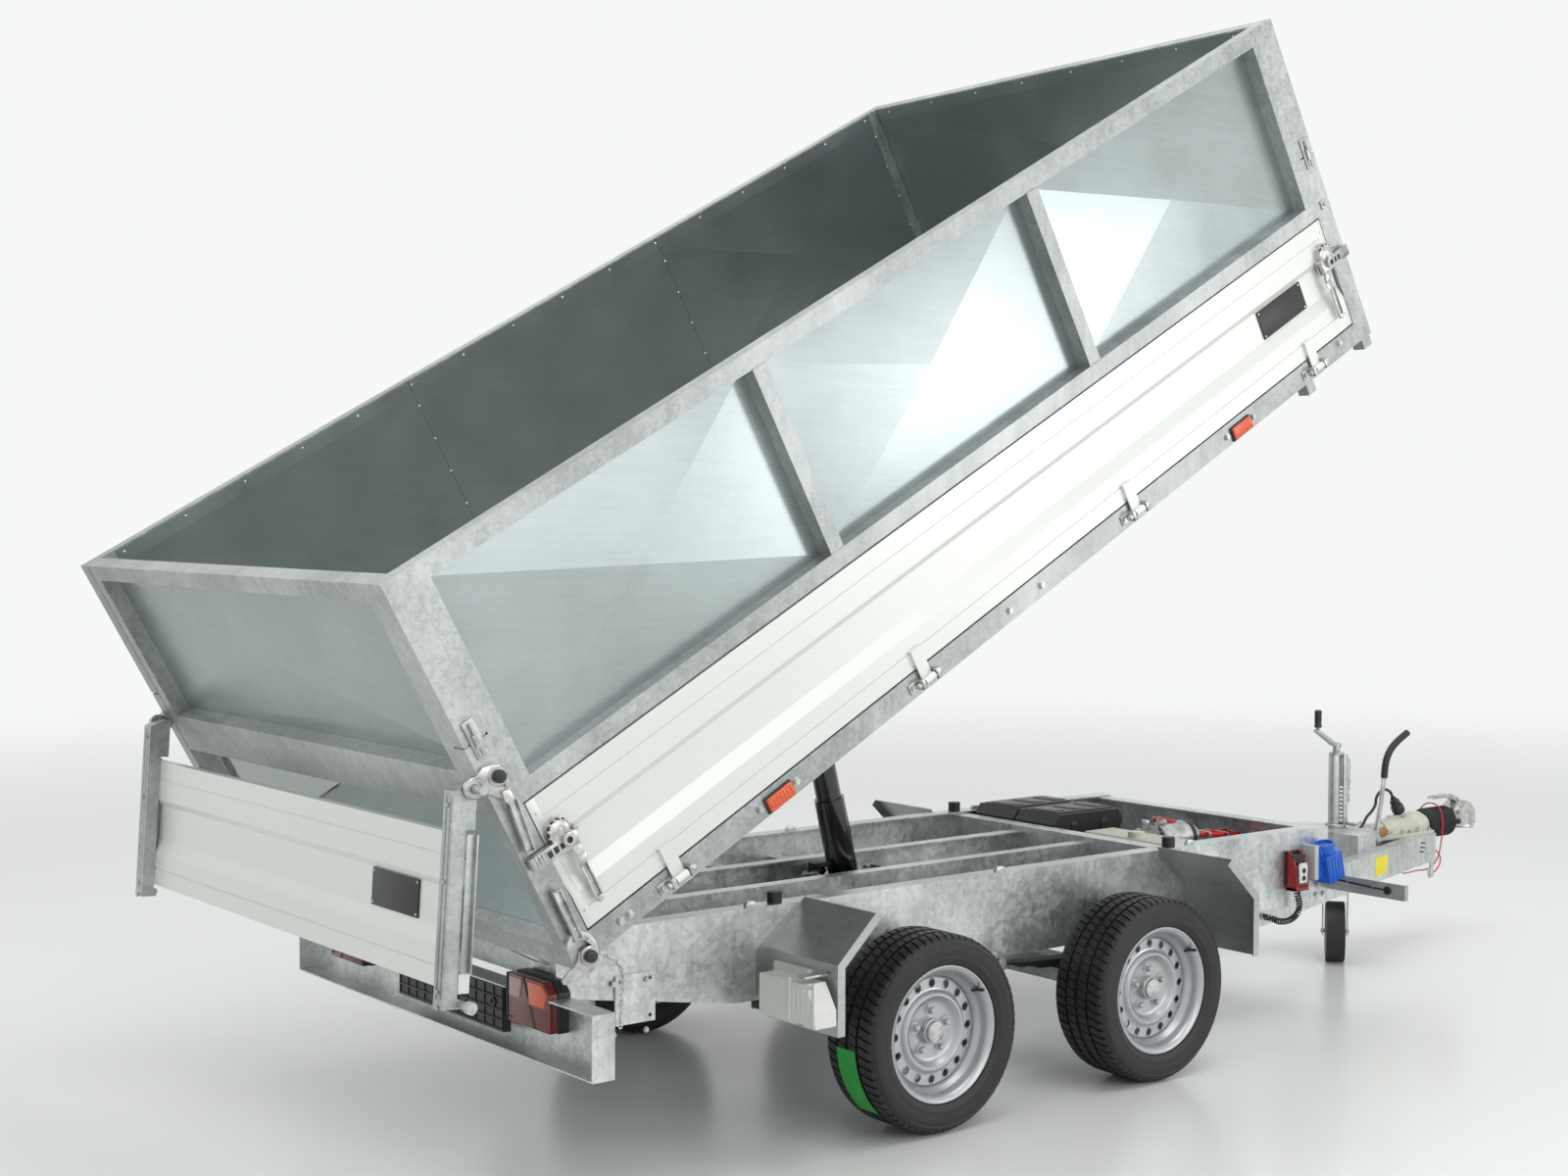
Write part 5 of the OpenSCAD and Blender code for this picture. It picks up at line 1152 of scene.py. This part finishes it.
for k in range(12):
    turn = along(end, way) @ Matrix.Rotation(math.tau * k / 12, 4, "Z")
    plug.block((16, -2, 18), (18.4, 2, 37), 0.8, turn)
    plug.block((22, -2.4, 44), (23.8, 2.4, 66), 0.8, turn)
plug_piece = plug.done("lead_plug_shell", CHASSIS, black_plastic, "chassis", "black_plastic", ["lead_plug"])
lay_cord("plug_lead_cable", placed(LEAD, NOSE, 8), 11, black_cable, "black_rubber", ["plug_lead"],
         far_end="plug", stiffness="stiff", lay="loose", with_pieces=[plug_piece])
lay_cord("breakaway_wire", placed(BREAKAWAY, NOSE, 8), 5, red_cable, "red_plastic", ["breakaway_cable"],
         far_end="object", stiffness="medium", lay="hanging")
route = placed(CURLY, FRONT, 40)
coil, side, gone = [], Vector((1, 0, 0)), 0.0
for i, at in enumerate(route):
    ahead = (route[min(i + 1, len(route) - 1)] - route[max(i - 1, 0)]).normalized()
    side = (side - ahead * side.dot(ahead)).normalized()
    if i:
        gone += (at - route[i - 1]).length
    turn = gone / 8.4 * math.tau
    coil.append(at + (side * math.cos(turn) + ahead.cross(side) * math.sin(turn)) * 8.2)
lay_cord("control_lead_coil", coil, 5.4, black_cable, "black_rubber", ["control_lead"],
         far_end="object", stiffness="medium", lay="coiled")

# Cable and grommet on the marker bracket, fittings of the cords
cable, eyes = Work(), Work()
cable.sweep(curve([(1913, -512, 440), (1912.6, -560, 436), (1912.6, -640, 432), (1912.6, -740, 428)], 6), 3, 10)
cable.turned([(6, 0), (13, 0), (14, 2), (13, 5), (9, 6), (6, 6)], (1915.2, -744, 428), (-1, 0, 0), 28, ring=True)
cable.rod((1915.2, -744, 428), (1911, -744, 428), 7)
cable.mirrored().done("marker_cables", CHASSIS, black_cable, "chassis", "black_rubber")
for y in (-592, -690):
    eyes.block((1910, y - 4, 428), (1915.2, y + 4, 441), 1.2)
eyes.mirrored()
hook = [(NOSE - 14 + 15 * math.cos(a), -50, 268 + 22 * math.sin(a)) for a in [k * math.tau / 20 for k in range(21)]]
eyes.sweep(hook, 2.4, 8)
eyes.rod((NOSE - 256, -100, 313), (NOSE - 256, -100, 302), 6)
eyes.done("cord_fittings", CHASSIS, plated, "chassis", "zinc_fitting")

# Tailgate: an angle strip at each end, screws on the uprights
strip = Work()
strip.block((-31, HALF_W, 104), (-8, HALF_W + 3, 404), 0.8)
strip.block((-12, HALF_W + 2, 104), (-8, HALF_W + 13, 404), 0.8)
for v in (30, 64, 300, 466):
    strip.bolt((-66, HALF_W - 24, v), (-1, 0, 0), 6, washer=False)
strip.mirrored().done("gate_strips", GATE, galvanised_bed, "tailgate", "galvanised")
